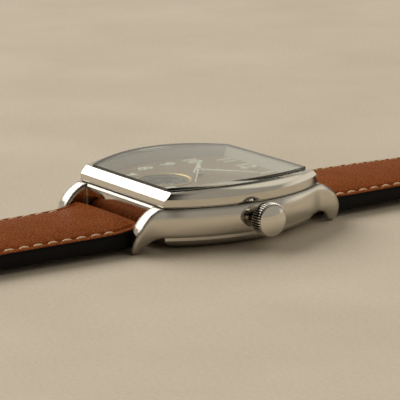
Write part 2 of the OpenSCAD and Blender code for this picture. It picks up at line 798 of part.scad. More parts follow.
module barrel_bridge() {
    color(plate_grey) difference() {
        intersection() {
            bridge_blank();
            translate([-movement_r, bridge_split_y, 0]) cube([2 * movement_r, movement_r, dial_z]);
        }
        at(barrel_at, barrel_bottom_z - 0.1) cylinder(h = over, r = barrel_r);
        at(barrel_at, bridge_bottom_z - over) cylinder(h = 3 * over, r = barrel_arbor_r + run_gap);
        screw_holes(barrel_bridge_screws);
    }
}

module train_bridge() {
    color(plate_grey) difference() {
        intersection() {
            bridge_blank();
            translate([-movement_r, -movement_r, 0])
                cube([2 * movement_r, movement_r + bridge_split_y - split_gap, dial_z]);
        }
        at(barrel_at, barrel_bottom_z - 0.1) cylinder(h = over, r = barrel_r);
        at(balance_at, 0) cylinder(h = dial_z, r = 3.6);
        translate([-movement_r, -movement_r, 0])
            cube([movement_r - 1.6, movement_r - balance_y + 4.1, dial_z]);
        translate([-4.5, -movement_r, 0]) cube([9, movement_r - balance_y, dial_z]);
        bridge_holes([[0, 0], third_at, second_at, escape_at]);
        screw_holes(train_bridge_screws);
    }
}

module balance_cock() {
    arm_top = bridge_bottom_z + 0.75;
    color(plate_grey) difference() {
        union() {
            intersection() {
                bridge_blank();
                translate([-movement_r, -balance_y - 0.9, 0]) cube([movement_r - 4.75, 4.6, dial_z]);
            }
            translate([-8.5, -balance_y - 0.9, bridge_bottom_z]) cube([8.5, 1.8, arm_top - bridge_bottom_z]);
            at(balance_at, bridge_bottom_z) cylinder(h = arm_top - bridge_bottom_z, r = 1.5);
        }
        bridge_holes([balance_at]);
        screw_holes(cock_screws);
        at([stud_x(), -balance_y], bridge_bottom_z - over) cylinder(h = 3, r = stud_r);
    }
}

module pallet_bridge() {
    color(plate_grey) difference() {
        at([0, 0], pallet_bridge_z) linear_extrude(pallet_bridge_t) pallet_bridge_outline(0);
        at(pallet_at, pallet_bridge_z - over) cylinder(h = 3, r = arbor_r + run_gap);
        at(pallet_foot_at, pallet_bridge_z - over) cylinder(h = 3, r = 0.27);
    }
}

module dial_side_bridge() {
    color(steel) difference() {
        at([0, 0], open_bridge_z) linear_extrude(open_bridge_t) open_bridge_outline(0);
        for (place = [pallet_at, balance_at]) at(place, open_bridge_z - over) cylinder(h = 3, r = jewel_r);
        for (x = [-1, 1]) at([x * open_bridge_wing[0], open_bridge_wing[1]], open_bridge_z - over)
            cylinder(h = 3, r = 0.32);
    }
}

// Slotted screw standing on its head: head below, shank above
module small_screw(place, low, head_r, shank_r, head_h, len) {
    at(place, low) difference() {
        union() {
            cylinder(h = head_h, r = head_r);
            cylinder(h = len, r = shank_r);
        }
        translate([-over, -0.08, -over]) cube([2 * over, 0.16, over + head_h * 0.4]);
    }
}

module bridge_screws() {
    color([0.25, 0.33, 0.55]) {
        for (place = bridge_screw_places)
            small_screw(place, bridge_bottom_z + 0.05, 0.75, 0.35, 0.4,
                plate_bottom_z - bridge_bottom_z + 0.85);
        small_screw(pallet_foot_at, pallet_bridge_z - 0.3, 0.5, 0.25, 0.3, 1.05);
        for (x = [-1, 1]) at([x * open_bridge_wing[0], open_bridge_wing[1]], dial_z - 0.15)
            mirror([0, 0, 1]) small_screw([0, 0], 0, 0.55, 0.3, 0.3, 1.8);
    }
}

module jewel(place, low, h, bore) {
    ring(place, low, h, jewel_r - seat_gap / 2, bore + run_gap);
}

module movement_jewels() {
    color(ruby) {
        for (place = [third_at, second_at, escape_at])
            jewel(place, bridge_bottom_z + 0.3, 0.5, arbor_r);
        jewel([0, 0], bridge_bottom_z + 0.3, 0.5, arbor_r);
        
        jewel(balance_at, bridge_bottom_z + 0.2, 0.5, arbor_r);
        for (place = [third_at, second_at, escape_at]) jewel(place, web_z + 0.45, 0.5, arbor_r);
        for (place = [pallet_at, balance_at]) jewel(place, open_bridge_z + 0.05, 0.5, arbor_r);
    }
}

// Going train

module toothed(r, teeth, depth) {
    polygon([for (i = [0 : teeth - 1]) each [
        polar(r - depth, (i - 0.28) * 360 / teeth), polar(r, (i - 0.12) * 360 / teeth),
        polar(r, (i + 0.12) * 360 / teeth), polar(r - depth, (i + 0.28) * 360 / teeth)]]);
}

module spoked(r, hub, arms, arm_w, rim) {
    difference() {
        circle(r - rim / 2);
        circle(r - rim);
    }
    circle(hub);
    for (i = [0 : arms - 1]) rotate(i * 360 / arms) translate([0, -arm_w / 2]) square([r - rim / 2, arm_w]);
}

module train_wheel(place, z, r, teeth) {
    at(place, z) linear_extrude(wheel_t) {
        difference() {
            toothed(r, teeth, 0.16);
            circle(r * 0.8);
        }
        spoked(r - 0.16, 0.5, 5, 0.28, r * 0.2);
    }
}

module arbor(place, low, high) {
    at(place, low) cylinder(h = high - low, r = arbor_r);
}

module pinion(place, low, high, r, leaves) {
    at(place, low) linear_extrude(high - low) toothed(r, leaves, 0.12);
}

module barrel() {
    color(gilt) {
        at(barrel_at, barrel_bottom_z) difference() {
            cylinder(h = barrel_top_z - barrel_bottom_z, r = barrel_r - 0.25);
            translate([0, 0, -over]) cylinder(h = over + 0.1, r = barrel_r - 0.7);
        }
        at(barrel_at, barrel_teeth_z) linear_extrude(0.3) toothed(barrel_r, 80, 0.2);
        at(barrel_at, bridge_bottom_z + 0.05)
            cylinder(h = web_z - bridge_bottom_z + 0.45, r = barrel_arbor_r);
    }
}

module second_wheel() {
    color(gilt) {
        train_wheel(second_at, second_z, second_r, 64);
        pinion(second_at, barrel_teeth_z, third_z - 0.07, second_pinion_r, 12);
        arbor(second_at, bridge_bottom_z + 0.4, web_z + 0.7);
    }
}

module third_wheel() {
    color(gilt) {
        train_wheel(third_at, third_z, third_r, 75);
        pinion(third_at, third_z, second_z + wheel_t + 0.02, third_pinion_r, 8);
        arbor(third_at, bridge_bottom_z + 0.4, web_z + 0.7);
    }
}

module fourth_wheel() {
    color(gilt) {
        train_wheel([0, 0], fourth_z, fourth_r, 72);
        pinion([0, 0], third_z - 0.1, fourth_z, fourth_pinion_r, 10);
        arbor([0, 0], bridge_bottom_z + 0.4, seconds_z + hand_t);
    }
}

// Escapement

module escape_wheel() {
    rim_in = escape_r - 0.5;
    color(steel) {
        at(escape_at, escape_z) linear_extrude(0.15) {
            difference() {
                polygon([for (i = [0 : escape_teeth - 1]) each [
                    polar(escape_r - 0.38, (i - 0.35) * 360 / escape_teeth),
                    polar(escape_r, (i - 0.05) * 360 / escape_teeth),
                    polar(escape_r - 0.05, (i + 0.2) * 360 / escape_teeth),
                    polar(escape_r - 0.38, (i + 0.12) * 360 / escape_teeth)]]);
                circle(rim_in);
            }
            spoked(rim_in + 0.05, 0.35, 4, 0.18, 0.1);
        }
        pinion(escape_at, fourth_z - 0.08, fourth_z + wheel_t + 0.08, escape_pinion_r, 8);
        arbor(escape_at, bridge_bottom_z + 0.4, web_z + 0.9);
    }
}

stone_angle = 38;
stone_gap = 0.16;
fork_gap = 0.06;
function stone_at(side) = escape_at + [side * (escape_r + stone_gap + 0.15) * sin(stone_angle),
    -(escape_r + stone_gap + 0.15) * cos(stone_angle)];

module pallet_fork() {
    fork_len = pallet_at[1] - balance_at[1] - roller_pin_at - roller_pin_r - fork_gap;
    color(steel) {
        at(pallet_at, pallet_z) linear_extrude(0.22) difference() {
            union() {
                circle(0.28);
                for (side = [-1, 1]) {
                    reach = stone_at(side) - pallet_at;
                    rotate(atan2(reach[1], reach[0])) translate([0, -0.12])
                        square([norm(reach) - 0.12, 0.24]);
                }
                translate([-0.12, -fork_len]) square([0.24, fork_len]);
                translate([-0.3, -fork_len]) square([0.6, 0.45]);
            }
            translate([-0.12, -fork_len - over]) square([0.24, over + 0.25]);
        }
        arbor(pallet_at, pallet_bridge_z, staff_top_z);
    }
}

module pallet_stones() {
    color(ruby) for (side = [-1, 1])
        translate([stone_at(side)[0], stone_at(side)[1], pallet_z - 0.05]) rotate([0, 0, side * stone_angle])
            translate([-0.1, -0.15, 0]) cube([0.2, 0.3, 0.35]);
}

module balance_wheel() {
    color(gilt) at(balance_at, balance_z) {
        linear_extrude(balance_t) difference() {
            circle(balance_r);
            circle(balance_r - balance_rim_w);
        }
        linear_extrude(balance_t * 0.6) difference() {
            spoked(balance_r, 0.6, 3, 0.45, balance_rim_w);
            circle(staff_r + seat_gap / 2);
        }
        for (i = [0 : balance_screws - 1]) rotate([0, 0, (i + 0.5) * 360 / balance_screws])
            translate([0, 0, balance_t / 2]) along_x(balance_r - 0.1, 0.35, 0.16);
    }
}

module balance_staff() {
    color(steel) {
        arbor(balance_at, bridge_bottom_z + 0.25, balance_z);
        at(balance_at, balance_z) cylinder(h = roller_z - balance_z, r = staff_r);
        at(balance_at, spring_z - 0.15) cylinder(h = balance_z - spring_z + 0.15, r = 0.4);
        at(balance_at, roller_z) cylinder(h = 0.2, r = 0.66);
        at(balance_at, roller_z) cylinder(h = staff_top_z - roller_z, r = arbor_r);
        at(balance_at + [0, roller_pin_at], roller_z + 0.2) cylinder(h = 0.4, r = roller_pin_r);
    }
}

spring_start_r = 0.4 + spring_wire / 4;
spring_sides = 6;
spring_rings = 24;
function spring_r(turn) = spring_start_r + spring_pitch * turn;
function spring_point(turn) = [for (v = polar(spring_r(turn), turn * 360)) v];
function stud_x() = -spring_r(spring_turns + 0.5) - stud_r - 0.06;
stud_r = 0.2;
spring_span = spring_turns + 0.5;
spring_steps = round(spring_span * spring_rings);
spring_self_gap = min([for (i = [0 : spring_steps - spring_rings])
    norm(spring_point(i / spring_rings + 1) - spring_point(i / spring_rings))]) - spring_wire;
echo(hairspring_least_gap_to_itself_mm = spring_self_gap);

module hairspring() {
    points = [for (i = [0 : spring_steps]) for (k = [0 : spring_sides - 1])
        let (a = i * 360 / spring_rings, r = spring_r(i / spring_rings),
            q = polar(spring_wire / 2, k * 360 / spring_sides))
        [(r + q[0]) * cos(a), (r + q[0]) * sin(a), q[1]]];
    last = spring_steps * spring_sides;
    color([0.25, 0.33, 0.55]) at(balance_at, spring_z) polyhedron(points, concat(
        [[for (k = [0 : spring_sides - 1]) k]],
        [for (i = [0 : spring_steps - 1]) for (k = [0 : spring_sides - 1])
            [i * spring_sides + k, (i + 1) * spring_sides + k,
                (i + 1) * spring_sides + (k + 1) % spring_sides]],
        [for (i = [0 : spring_steps - 1]) for (k = [0 : spring_sides - 1])
            [i * spring_sides + k, (i + 1) * spring_sides + (k + 1) % spring_sides,
                i * spring_sides + (k + 1) % spring_sides]],
        [[for (k = [spring_sides - 1 : -1 : 0]) last + k]]));
}

module hairspring_stud() {
    color(steel) at([stud_x(), -balance_y], bridge_bottom_z + 0.1)
        cylinder(h = spring_z - bridge_bottom_z, r = stud_r - seat_gap);
}

// Motion work and hands

module cannon_pinion() {
    color(steel) ring([0, 0], cannon_bottom_z, minute_z + hand_t - cannon_bottom_z, cannon_r,
        arbor_r + 0.08);
}

module hour_wheel() {
    color(gilt) {
        difference() {
            union() {
                at([0, 0], hour_wheel_z) cylinder(h = hour_z + hand_t - hour_wheel_z, r = hour_tube_r);
                at([0, 0], hour_wheel_z) linear_extrude(0.25) toothed(2.6, 40, 0.2);
            }
            at([0, 0], hour_wheel_z - over) cylinder(h = dial_top_z, r = cannon_r + run_gap);
        }
    }
}

// A leaf hand: a tapered blade with a counterweight end, pointing to 12 o'clock
module leaf_hand(len, root, half_w, hub, bore, z) {
    translate([0, 0, z]) difference() {
        union() {
            cylinder(h = hand_t, r = hub);
            linear_extrude(hand_t) polygon([[-root, bore], [-half_w, len * 0.3], [-0.08, len],
                [0.08, len], [half_w, len * 0.3], [root, bore]]);
        }
        translate([0, 0, -over]) cylinder(h = 2 * over, r = bore);
    }
}

module hour_hand() {
    color(steel) rotate([0, 0, -hour_angle])
        leaf_hand(hour_hand_len, 0.3, 0.62, 1.05, hour_tube_r + seat_gap / 2, hour_z);
}

module minute_hand() {
    color(steel) rotate([0, 0, -minute_angle])
        leaf_hand(minute_hand_len, 0.25, 0.48, 0.85, cannon_r + seat_gap / 2, minute_z);
}

module seconds_hand() {
    color(steel) rotate([0, 0, -seconds_angle]) {
        leaf_hand(seconds_hand_len, 0.12, 0.13, 0.45, arbor_r + seat_gap / 2, seconds_z);
        translate([0, 0, seconds_z]) linear_extrude(hand_t) difference() {
            union() {
                translate([-0.11, -3.4]) square([0.22, 3.2]);
                translate([0, -3.2]) circle(0.34);
            }
            circle(0.3);
        }
    }
}

// Winding rotor

rotor_z = 2;
rotor_web_t = 0.3;
rotor_rim_h = 0.55;
rotor_hub_t = 0.8;
bearing_r = 1.6;
bearing_flange_r = 2.1;

module half_turn() {
    intersection() {
        children();
        translate([-movement_r, -movement_r, 0]) cube([2 * movement_r, movement_r, dial_z]);
    }
}

module rotor() {
    inner = rotor_r - rotor_rim_w;
    color(steel) difference() {
        union() {
            half_turn() at([0, 0], rotor_z) cylinder(h = rotor_web_t, r = rotor_r);
            at([0, 0], rotor_z) cylinder(h = rotor_hub_t, r = bearing_r + 0.9);
        }
        at([0, 0], 0) cylinder(h = dial_z, r = bearing_r + run_gap);
        for (a = [-150, -90, -30]) rotate([0, 0, a]) translate([inner * 0.62, 0, 0])
            cylinder(h = dial_z, r = 1.7);
    }
}

module rotor_weight() {
    inner = rotor_r - rotor_rim_w;
    color(gilt) half_turn() ring([0, 0], rotor_z - rotor_rim_h, rotor_rim_h, rotor_r, inner);
}

module rotor_bearing() {
    color(steel) difference() {
        union() {
            at([0, 0], rotor_z - 0.3) cylinder(h = 0.25, r = bearing_flange_r);
            at([0, 0], rotor_z - 0.3) cylinder(h = bridge_bottom_z - rotor_z + 0.3, r = bearing_r);
            at([0, 0], rotor_z + rotor_hub_t + 0.05)
                cylinder(h = bridge_bottom_z - rotor_z - rotor_hub_t - 0.05, r = bearing_flange_r);
        }
        translate([-over, -0.12, rotor_z - 0.3 - over]) cube([2 * over, 0.24, over + 0.12]);
    }
}

// Crown and stem

module crown() {
    face_r = crown_r - crown_rim;
    face_x = crown_end_x - crown_dome;
    color(steel) translate([0, 0, stem_z]) rotate([0, 90, 0]) difference() {
        rotate_extrude() polygon(concat(
            [[0, crown_start_x], [crown_r - 0.8, crown_start_x], [crown_r, crown_start_x + 0.6]],
            [for (a = [0 : 15 : 90]) [face_r + crown_rim * cos(a), face_x + crown_rim * (sin(a) - 1)]],
            [for (k = [1 : 6]) [face_r * (1 - k / 6), crown_end_x - crown_dome * pow(1 - k / 6, 2)]]));
        translate([0, 0, crown_start_x - over]) cylinder(h = crown_bore_len + over, r = crown_bore_r);
        translate([0, 0, crown_start_x]) cylinder(h = crown_len - 0.5, r = stem_r + seat_gap / 2);
        for (i = [0 : crown_flutes - 1]) rotate([0, 0, i * 360 / crown_flutes])
            translate([crown_r + flute_r * 0.1, 0, crown_start_x - over])
                cylinder(h = crown_len + 2 * over, r = flute_r, $fn = 16);
    }
}

module winding_stem() {
    color(steel) translate([0, 0, stem_z]) {
        along_x(keyless_x + keyless_len + crown_travel, crown_end_x - 0.5 - keyless_x - keyless_len
            - crown_travel, stem_r);
        translate([stem_tip_x, -square_half, -square_half])
            cube([keyless_x + keyless_len + crown_travel - stem_tip_x, 2 * square_half, 2 * square_half]);
    }
}

module crown_seal() {
    x = crown_start_x + 0.12;
    color(black_edge) translate([0, 0, stem_z]) difference() {
        along_x(x, 0.6, crown_bore_r - seat_gap);
        along_x(x - over, 3 * over, tube_r + 0.03);
    }
}

module crown_tube() {
    color(steel) translate([0, 0, stem_z]) difference() {
        along_x(cavity_half_w + seat_gap, crown_start_x + tube_out - cavity_half_w - seat_gap,
            tube_r - seat_gap);
        along_x(cavity_half_w - over, crown_end_x, tube_bore_r);
    }
}

module sliding_pinion() {
    hole = square_half + run_gap;
    color(steel) translate([0, 0, stem_z]) difference() {
        union() {
            along_x(pinion_x, pinion_len, pinion_r - 0.22);
            along_x(pinion_x, pinion_len * 0.35, pinion_r);
            along_x(pinion_x + pinion_len * 0.65, pinion_len * 0.35, pinion_r);
        }
        translate([pinion_x - over, -hole, -hole]) cube([pinion_len + 2 * over, 2 * hole, 2 * hole]);
    }
}

// Spring bars

module spring_bar(side) {
    color(steel) translate([0, side * bar_y, bar_z]) {
        along_x(-lug_width / 2 + 0.15, lug_width - 0.3, bar_r);
        along_x(-lug_width / 2 - bar_tip_len, lug_width + 2 * bar_tip_len, bar_tip_r);
    }
}

module spring_bar_12() {
    spring_bar(1);
}

module spring_bar_6() {
    spring_bar(-1);
}

// Strap. u is the distance from the spring bar along the strap, v the share across it, from -1 to 1

function strap_w(u, total) = mix(strap_half_w, strap_end_half_w, min(u / total, 1));
function lining_h(u, total) = mix(lining_t, lining_end_t, smooth_step(u / total));
function pad(u, total) = mix(pad_h, pad_end_h, smooth_step(u / total));
function padding(v, w) = let (t = abs(v) * w / (w - pad_inset)) t >= 1 ? 0 : pow(cos(t * 90), 0.8);
function share(k) = 2 * k / (top_points - 1) - 1;

function short_bottom(u) = mix(strap_bottom_z, short_end_z, smooth_step(u / rise_start));
function long_bottom(u) = mix(strap_bottom_z, 0, smooth_step((u - rise_start) / (rise_end - rise_start)));
function long_w(u) = u <= tip_start ? strap_w(u, long_len)
    : strap_w(u, long_len) * sqrt(max(1 - pow((u - tip_start) / tip_len, 2), 0.0002));

// One ring of the leather: a row of points over the top, then the two lower corners
function leather_ring(u, w, low, edge, crown) = concat(
    [for (k = [0 : top_points - 1]) [share(k) * w, u, edge + crown * padding(share(k), w)]],
    [[w, u, low], [-w, u, low]]);

function fold_ring(a, w, u0, z0, r, crown) = concat(
    [for (k = [0 : top_points - 1]) let (q = r + crown * (1 - pow(share(k), 2)))
        [share(k) * w, u0 + q * cos(a), z0 + q * sin(a)]],
    [[w, u0 + r * cos(a), z0 - r * sin(a)], [-w, u0 + r * cos(a), z0 - r * sin(a)]]);

module ring_body(rings) {
    n = len(rings[0]);
    last = (len(rings) - 1) * n;
    polyhedron([for (r = rings) each r], concat(
        [[for (k = [0 : n - 1]) k]],
        [for (i = [0 : len(rings) - 2]) for (k = [0 : n - 1])
            [i * n + k, (i + 1) * n + k, (i + 1) * n + (k + 1) % n]],
        [for (i = [0 : len(rings) - 2]) for (k = [0 : n - 1])
            [i * n + k, (i + 1) * n + (k + 1) % n, i * n + (k + 1) % n]],
        [[for (k = [n - 1 : -1 : 0]) last + k]]));
}

function case_end_rings() = concat(
    [for (i = [0 : fold_rings]) fold_ring(mix(176, 90, i / fold_rings), strap_half_w, 0, bar_z, fold_r,
        fold_crown)],
    [leather_ring(step_u, strap_half_w, strap_bottom_z, bar_z + fold_r - 0.3, fold_crown + 0.45)]);

function short_edge(u) = short_bottom(u) + lining_h(u, short_len) + leather_edge_t;
function long_edge(u) = long_bottom(u) + lining_h(u, long_len) + leather_edge_t;
function edge_near_case(z, u) = mix(bar_z + fold_r - 0.3, z, smooth_step(u / 5));

module short_leather() {
    ring_body(concat(case_end_rings(),
        [for (u = short_stations) leather_ring(u, strap_w(u, short_len),
            short_bottom(u) + lining_h(u, short_len), edge_near_case(short_edge(u), u), pad(u, short_len))],
        [leather_ring(short_len - step_u + tiny, strap_end_half_w, short_end_z,
            buckle_bar_z + end_fold_r, pad_end_h)],
        [for (i = [0 : fold_rings]) fold_ring(mix(90, 4, i / fold_rings), strap_end_half_w, short_len,
            buckle_bar_z, end_fold_r, 0.05)]));
}

module tang_slot() {
    translate([-slot_w / 2, short_len - slot_len, -over]) cube([slot_w, slot_len + 3, 3 * case_half_w]);
}

module lining(stations, widths, lows, highs) {
    ring_body([for (i = [0 : len(stations) - 1]) [[-widths[i], stations[i], highs[i]],
        [widths[i], stations[i], highs[i]], [widths[i], stations[i], lows[i]],
        [-widths[i], stations[i], lows[i]]]]);
}

module strap_12() {
    color(tan_leather) translate([0, bar_y, 0]) difference() {
        short_leather();
        translate([0, 0, bar_z]) along_x(-lug_width, 2 * lug_width, bar_bore_r);
        translate([0, short_len, buckle_bar_z]) along_x(-lug_width, 2 * lug_width, buckle_bar_r + 0.08);
        tang_slot();
    }
}

module strap_12_lining() {
    s = [for (i = [0 : 22]) step_u + 2 * tiny + i * (short_len - 2 * step_u - 4 * tiny) / 22];
    color(black_edge) translate([0, bar_y, 0]) difference() {
        lining(s, [for (u = s) strap_w(u, short_len)], [for (u = s) short_bottom(u)],
            [for (u = s) short_bottom(u) + lining_h(u, short_len) - tiny]);
        tang_slot();
    }
}

module strap_hole_row() {
    for (i = [0 : strap_holes - 1]) translate([0, long_len - hole_start - i * hole_pitch, -over])
        cylinder(h = 3 * case_half_w, r = hole_r);
}

module strap_6() {
    color(tan_leather) rotate([0, 0, 180]) translate([0, bar_y, 0]) difference() {
        ring_body(concat(case_end_rings(),
            [for (u = long_stations) leather_ring(u, long_w(u), long_bottom(u) + lining_h(u, long_len),
                edge_near_case(long_edge(u), u), pad(u, long_len) * long_w(u) / strap_w(u, long_len))]));
        translate([0, 0, bar_z]) along_x(-lug_width, 2 * lug_width, bar_bore_r);
        strap_hole_row();
    }
}

module strap_6_lining() {
    s = concat([step_u + 2 * tiny], [for (i = [1 : len(long_stations) - 1]) long_stations[i]]);
    color(black_edge) rotate([0, 0, 180]) translate([0, bar_y, 0]) difference() {
        lining(s, [for (u = s) long_w(u)], [for (u = s) long_bottom(u)],
            [for (u = s) long_bottom(u) + lining_h(u, long_len) - tiny]);
        strap_hole_row();
    }
}

// Keepers

module rounded_box(half_w, low, high, r) {
    translate([-half_w + r, low]) square([2 * (half_w - r), high - low]);
    translate([-half_w, low + r]) square([2 * half_w, high - low - 2 * r]);
    for (x = [r - half_w, half_w - r]) for (z = [low + r, high - r]) translate([x, z]) circle(r);
}

module keeper(u, inner_half_w, inner_low) {
    inner_high = short_end_z + keeper_h;
    translate([0, bar_y + u + keeper_w / 2, 0]) rotate([90, 0, 0]) linear_extrude(keeper_w) difference() {
        rounded_box(inner_half_w + keeper_t, 0, inner_high + keeper_t, keeper_corner_r);
        rounded_box(inner_half_w, inner_low, inner_high, keeper_corner_r / 3);
    }
}

module fixed_keeper() {
    u = short_len - fixed_keeper_u;
    color(tan_leather) keeper(u, strap_w(u - keeper_w / 2, short_len) + 0.1, short_end_z);
}

module free_keeper() {
    widest = strap_w(free_keeper_u - keeper_w / 2 - keeper_travel, short_len);
    color(tan_leather) keeper(free_keeper_u, widest + 0.2, short_end_z - 0.05);
}

// Buckle

module buckle_arm() {
    translate([0, buckle_bar_z]) circle(1.2);
    polygon([[0, buckle_bar_z + 1.2], [buckle_len - front_w, buckle_t], [buckle_len - front_w, 0], [3, 0.3],
        [0, buckle_bar_z - 1.2]]);
}

module buckle_frame() {
    color(steel) difference() {
        union() {
            for (x = [-buckle_outer, buckle_inner]) translate([x, buckle_y, 0])
                rotate([90, 0, 90]) linear_extrude(buckle_arm_w) buckle_arm();
            linear_extrude(buckle_t) intersection() {
                difference() {
                    translate([0, front_y - front_arc_r]) circle(front_arc_r);
                    translate([0, front_y - front_arc_r - front_w]) circle(front_arc_r);
                }
                translate([-buckle_outer, buckle_y + buckle_len / 2]) square([2 * buckle_outer, buckle_len]);
            }
        }
        translate([0, buckle_y, buckle_bar_z]) along_x(-lug_width, 2 * lug_width, buckle_bar_r + 0.01);
    }
}

module buckle_bar() {
    color(steel) translate([0, buckle_y, buckle_bar_z])
        along_x(-buckle_outer + 0.2, 2 * buckle_outer - 0.4, buckle_bar_r);
}

module buckle_tang() {
    low = buckle_t + 0.05;
    z = buckle_bar_z;
    color(steel) translate([0, buckle_y, 0]) difference() {
        union() {
            translate([0, 0, z]) along_x(-tang_w / 2, tang_w, 1.15);
            translate([-tang_w / 2, 0, 0]) rotate([90, 0, 90]) linear_extrude(tang_w)
                polygon([[buckle_bar_r, z + 0.85], [buckle_len * 0.6, z + 0.75],
                    [buckle_len + tang_over - 0.3, low + 0.75], [buckle_len + tang_over, low + 0.3],
                    [buckle_len + tang_over - 0.2, low], [buckle_len - front_w - 1, low],
                    [buckle_bar_r, z - 0.3]]);
        }
        translate([0, 0, z]) along_x(-tang_w, 2 * tang_w, buckle_bar_r + 0.05);
    }
}

case_middle();
bezel();
crystal();
crystal_seal();
flange_ring();
dial();
open_heart_ring();
case_back();
case_back_window();
case_back_seal();
case_back_screws();
movement_ring();
main_plate();
barrel_bridge();
train_bridge();
balance_cock();
pallet_bridge();
dial_side_bridge();
bridge_screws();
movement_jewels();
barrel();
second_wheel();
third_wheel();
fourth_wheel();
escape_wheel();
pallet_fork();
pallet_stones();
balance_wheel();
balance_staff();
hairspring();
hairspring_stud();
cannon_pinion();
hour_wheel();
hour_hand();
minute_hand();
seconds_hand();
rotor();
rotor_weight();
rotor_bearing();
crown();
winding_stem();
crown_seal();
crown_tube();
sliding_pinion();
spring_bar_12();
spring_bar_6();
strap_12();
strap_12_lining();
strap_6();
strap_6_lining();
fixed_keeper();
free_keeper();
buckle_frame();
buckle_bar();
buckle_tang();
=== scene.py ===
"""Tonneau watch with an open dial on a padded leather strap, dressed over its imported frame."""
from __future__ import annotations

import logging
import math
import random
from collections.abc import Callable, Iterable, Sequence
from dataclasses import dataclass
from enum import Enum
from typing import ClassVar

import bpy
from mathutils import Matrix, Vector


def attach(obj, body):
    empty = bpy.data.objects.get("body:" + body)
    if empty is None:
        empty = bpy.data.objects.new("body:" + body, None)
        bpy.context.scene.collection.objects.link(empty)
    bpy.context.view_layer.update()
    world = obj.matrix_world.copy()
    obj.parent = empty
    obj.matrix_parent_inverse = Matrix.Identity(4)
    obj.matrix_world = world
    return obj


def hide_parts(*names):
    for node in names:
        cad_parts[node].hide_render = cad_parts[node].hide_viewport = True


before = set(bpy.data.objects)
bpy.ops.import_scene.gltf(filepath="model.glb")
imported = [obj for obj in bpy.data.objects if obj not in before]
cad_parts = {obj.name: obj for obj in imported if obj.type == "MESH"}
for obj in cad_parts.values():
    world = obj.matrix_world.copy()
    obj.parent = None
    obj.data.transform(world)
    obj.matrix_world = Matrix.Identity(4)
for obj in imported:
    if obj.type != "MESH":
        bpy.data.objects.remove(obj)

LOG = logging.getLogger("watch")
# One millimetre in Blender's metres, and millimetres per metre along each direction
MM = 0.001
PER_M = (1000.0, 1000.0, 1000.0)
# Length of one wave of Blender's wave texture at scale 1
WAVE = 0.314
Point = tuple[float, float, float]
Form = tuple[list[Point], list[list[int]]]
Tree = bpy.types.NodeTree
Socket = bpy.types.NodeSocket


def linear(hex_colour: str) -> tuple[float, float, float, float]:
    """Turn an sRGB hex colour into the linear values that Blender works in.

    Args:
        hex_colour: a colour such as "#C8B8A0".

    Returns:
        Red, green, blue and an alpha of 1, all linear.
    """
    parts = [int(hex_colour[i:i + 2], 16) / 255 for i in (1, 3, 5)]
    red, green, blue = [c / 12.92 if c <= 0.04045 else ((c + 0.055) / 1.055) ** 2.4 for c in parts]
    return red, green, blue, 1.0


def add(tree: Tree, kind: str, inputs: dict | Sequence = (), out: int | str = 0, **settings: object
        ) -> Socket | None:
    """Add one node with its settings, values and links.

    Args:
        tree: the node tree that gets the node.
        kind: Blender's identifier of the node type, in which "ShaderNode" may be left out.
        inputs: values by input name or number, or just in order; a socket is linked, a hex colour turned.
        out: name or number of the output wanted.
        **settings: attributes of the node itself.

    Returns:
        That output, or None where the node has none.
    """
    node = tree.nodes.new(kind if "Node" in kind else f"ShaderNode{kind}")
    for key, value in settings.items():
        setattr(node, key, value)
    for key, value in inputs.items() if isinstance(inputs, dict) else enumerate(inputs):
        if isinstance(value, Socket):
            tree.links.new(value, node.inputs[key])
        else:
            is_colour = isinstance(value, str) and value.startswith("#")
            node.inputs[key].default_value = linear(value) if is_colour else value
    return node.outputs[out] if len(node.outputs) else None


def smooth_step(t: float) -> float:
    """Ease from 0 to 1 as t goes from 0 to 1."""
    t = min(max(t, 0.0), 1.0)
    return t * t * (3 - 2 * t)


def mix(a: float, b: float, t: float) -> float:
    """Go from a to b as t goes from 0 to 1."""
    return a + (b - a) * t


def edge_drop(d: float, r: float) -> float:
    """Return how far a rounded edge of radius r has fallen at distance d from the side."""
    return r - math.sqrt(r * r - (r - d) ** 2) if d < r else 0.0


# Finishes


class Finish:
    """A surface finish that builds its node material once and hands it out by name.

    Patterns lie in millimetres: a texture's Scale is a number per millimetre.
    """

    name: str
    slot: str

    def shade(self, tree: Tree, place: Socket) -> Socket:
        """Build the shader.

        Args:
            tree: the material's node tree.
            place: the object's own place in millimetres.

        Returns:
            The shader's output.
        """
        raise NotImplementedError

    def material(self) -> bpy.types.Material:
        """Hand out the material and build it on first use.

        Returns:
            The material.
        """
        made = bpy.data.materials.get(self.name)
        if made is None:
            made = bpy.data.materials.new(self.name)
            made.use_nodes = True
            tree = made.node_tree
            tree.nodes.clear()
            spot = add(tree, "TexCoord", out="Object")
            place = add(tree, "VectorMath", (spot, PER_M), operation="MULTIPLY")
            add(tree, "OutputMaterial", (self.shade(tree, place),))
        return made


class Working(Enum):
    """How a metal surface was worked last."""

    MIRROR = "buffed to a mirror"
    LINEAR = "brushed straight"
    CIRCULAR = "brushed or turned round a centre"
    STRIPES = "striped with a flat grinding wheel"
    PERLAGE = "spotted with a turning peg"


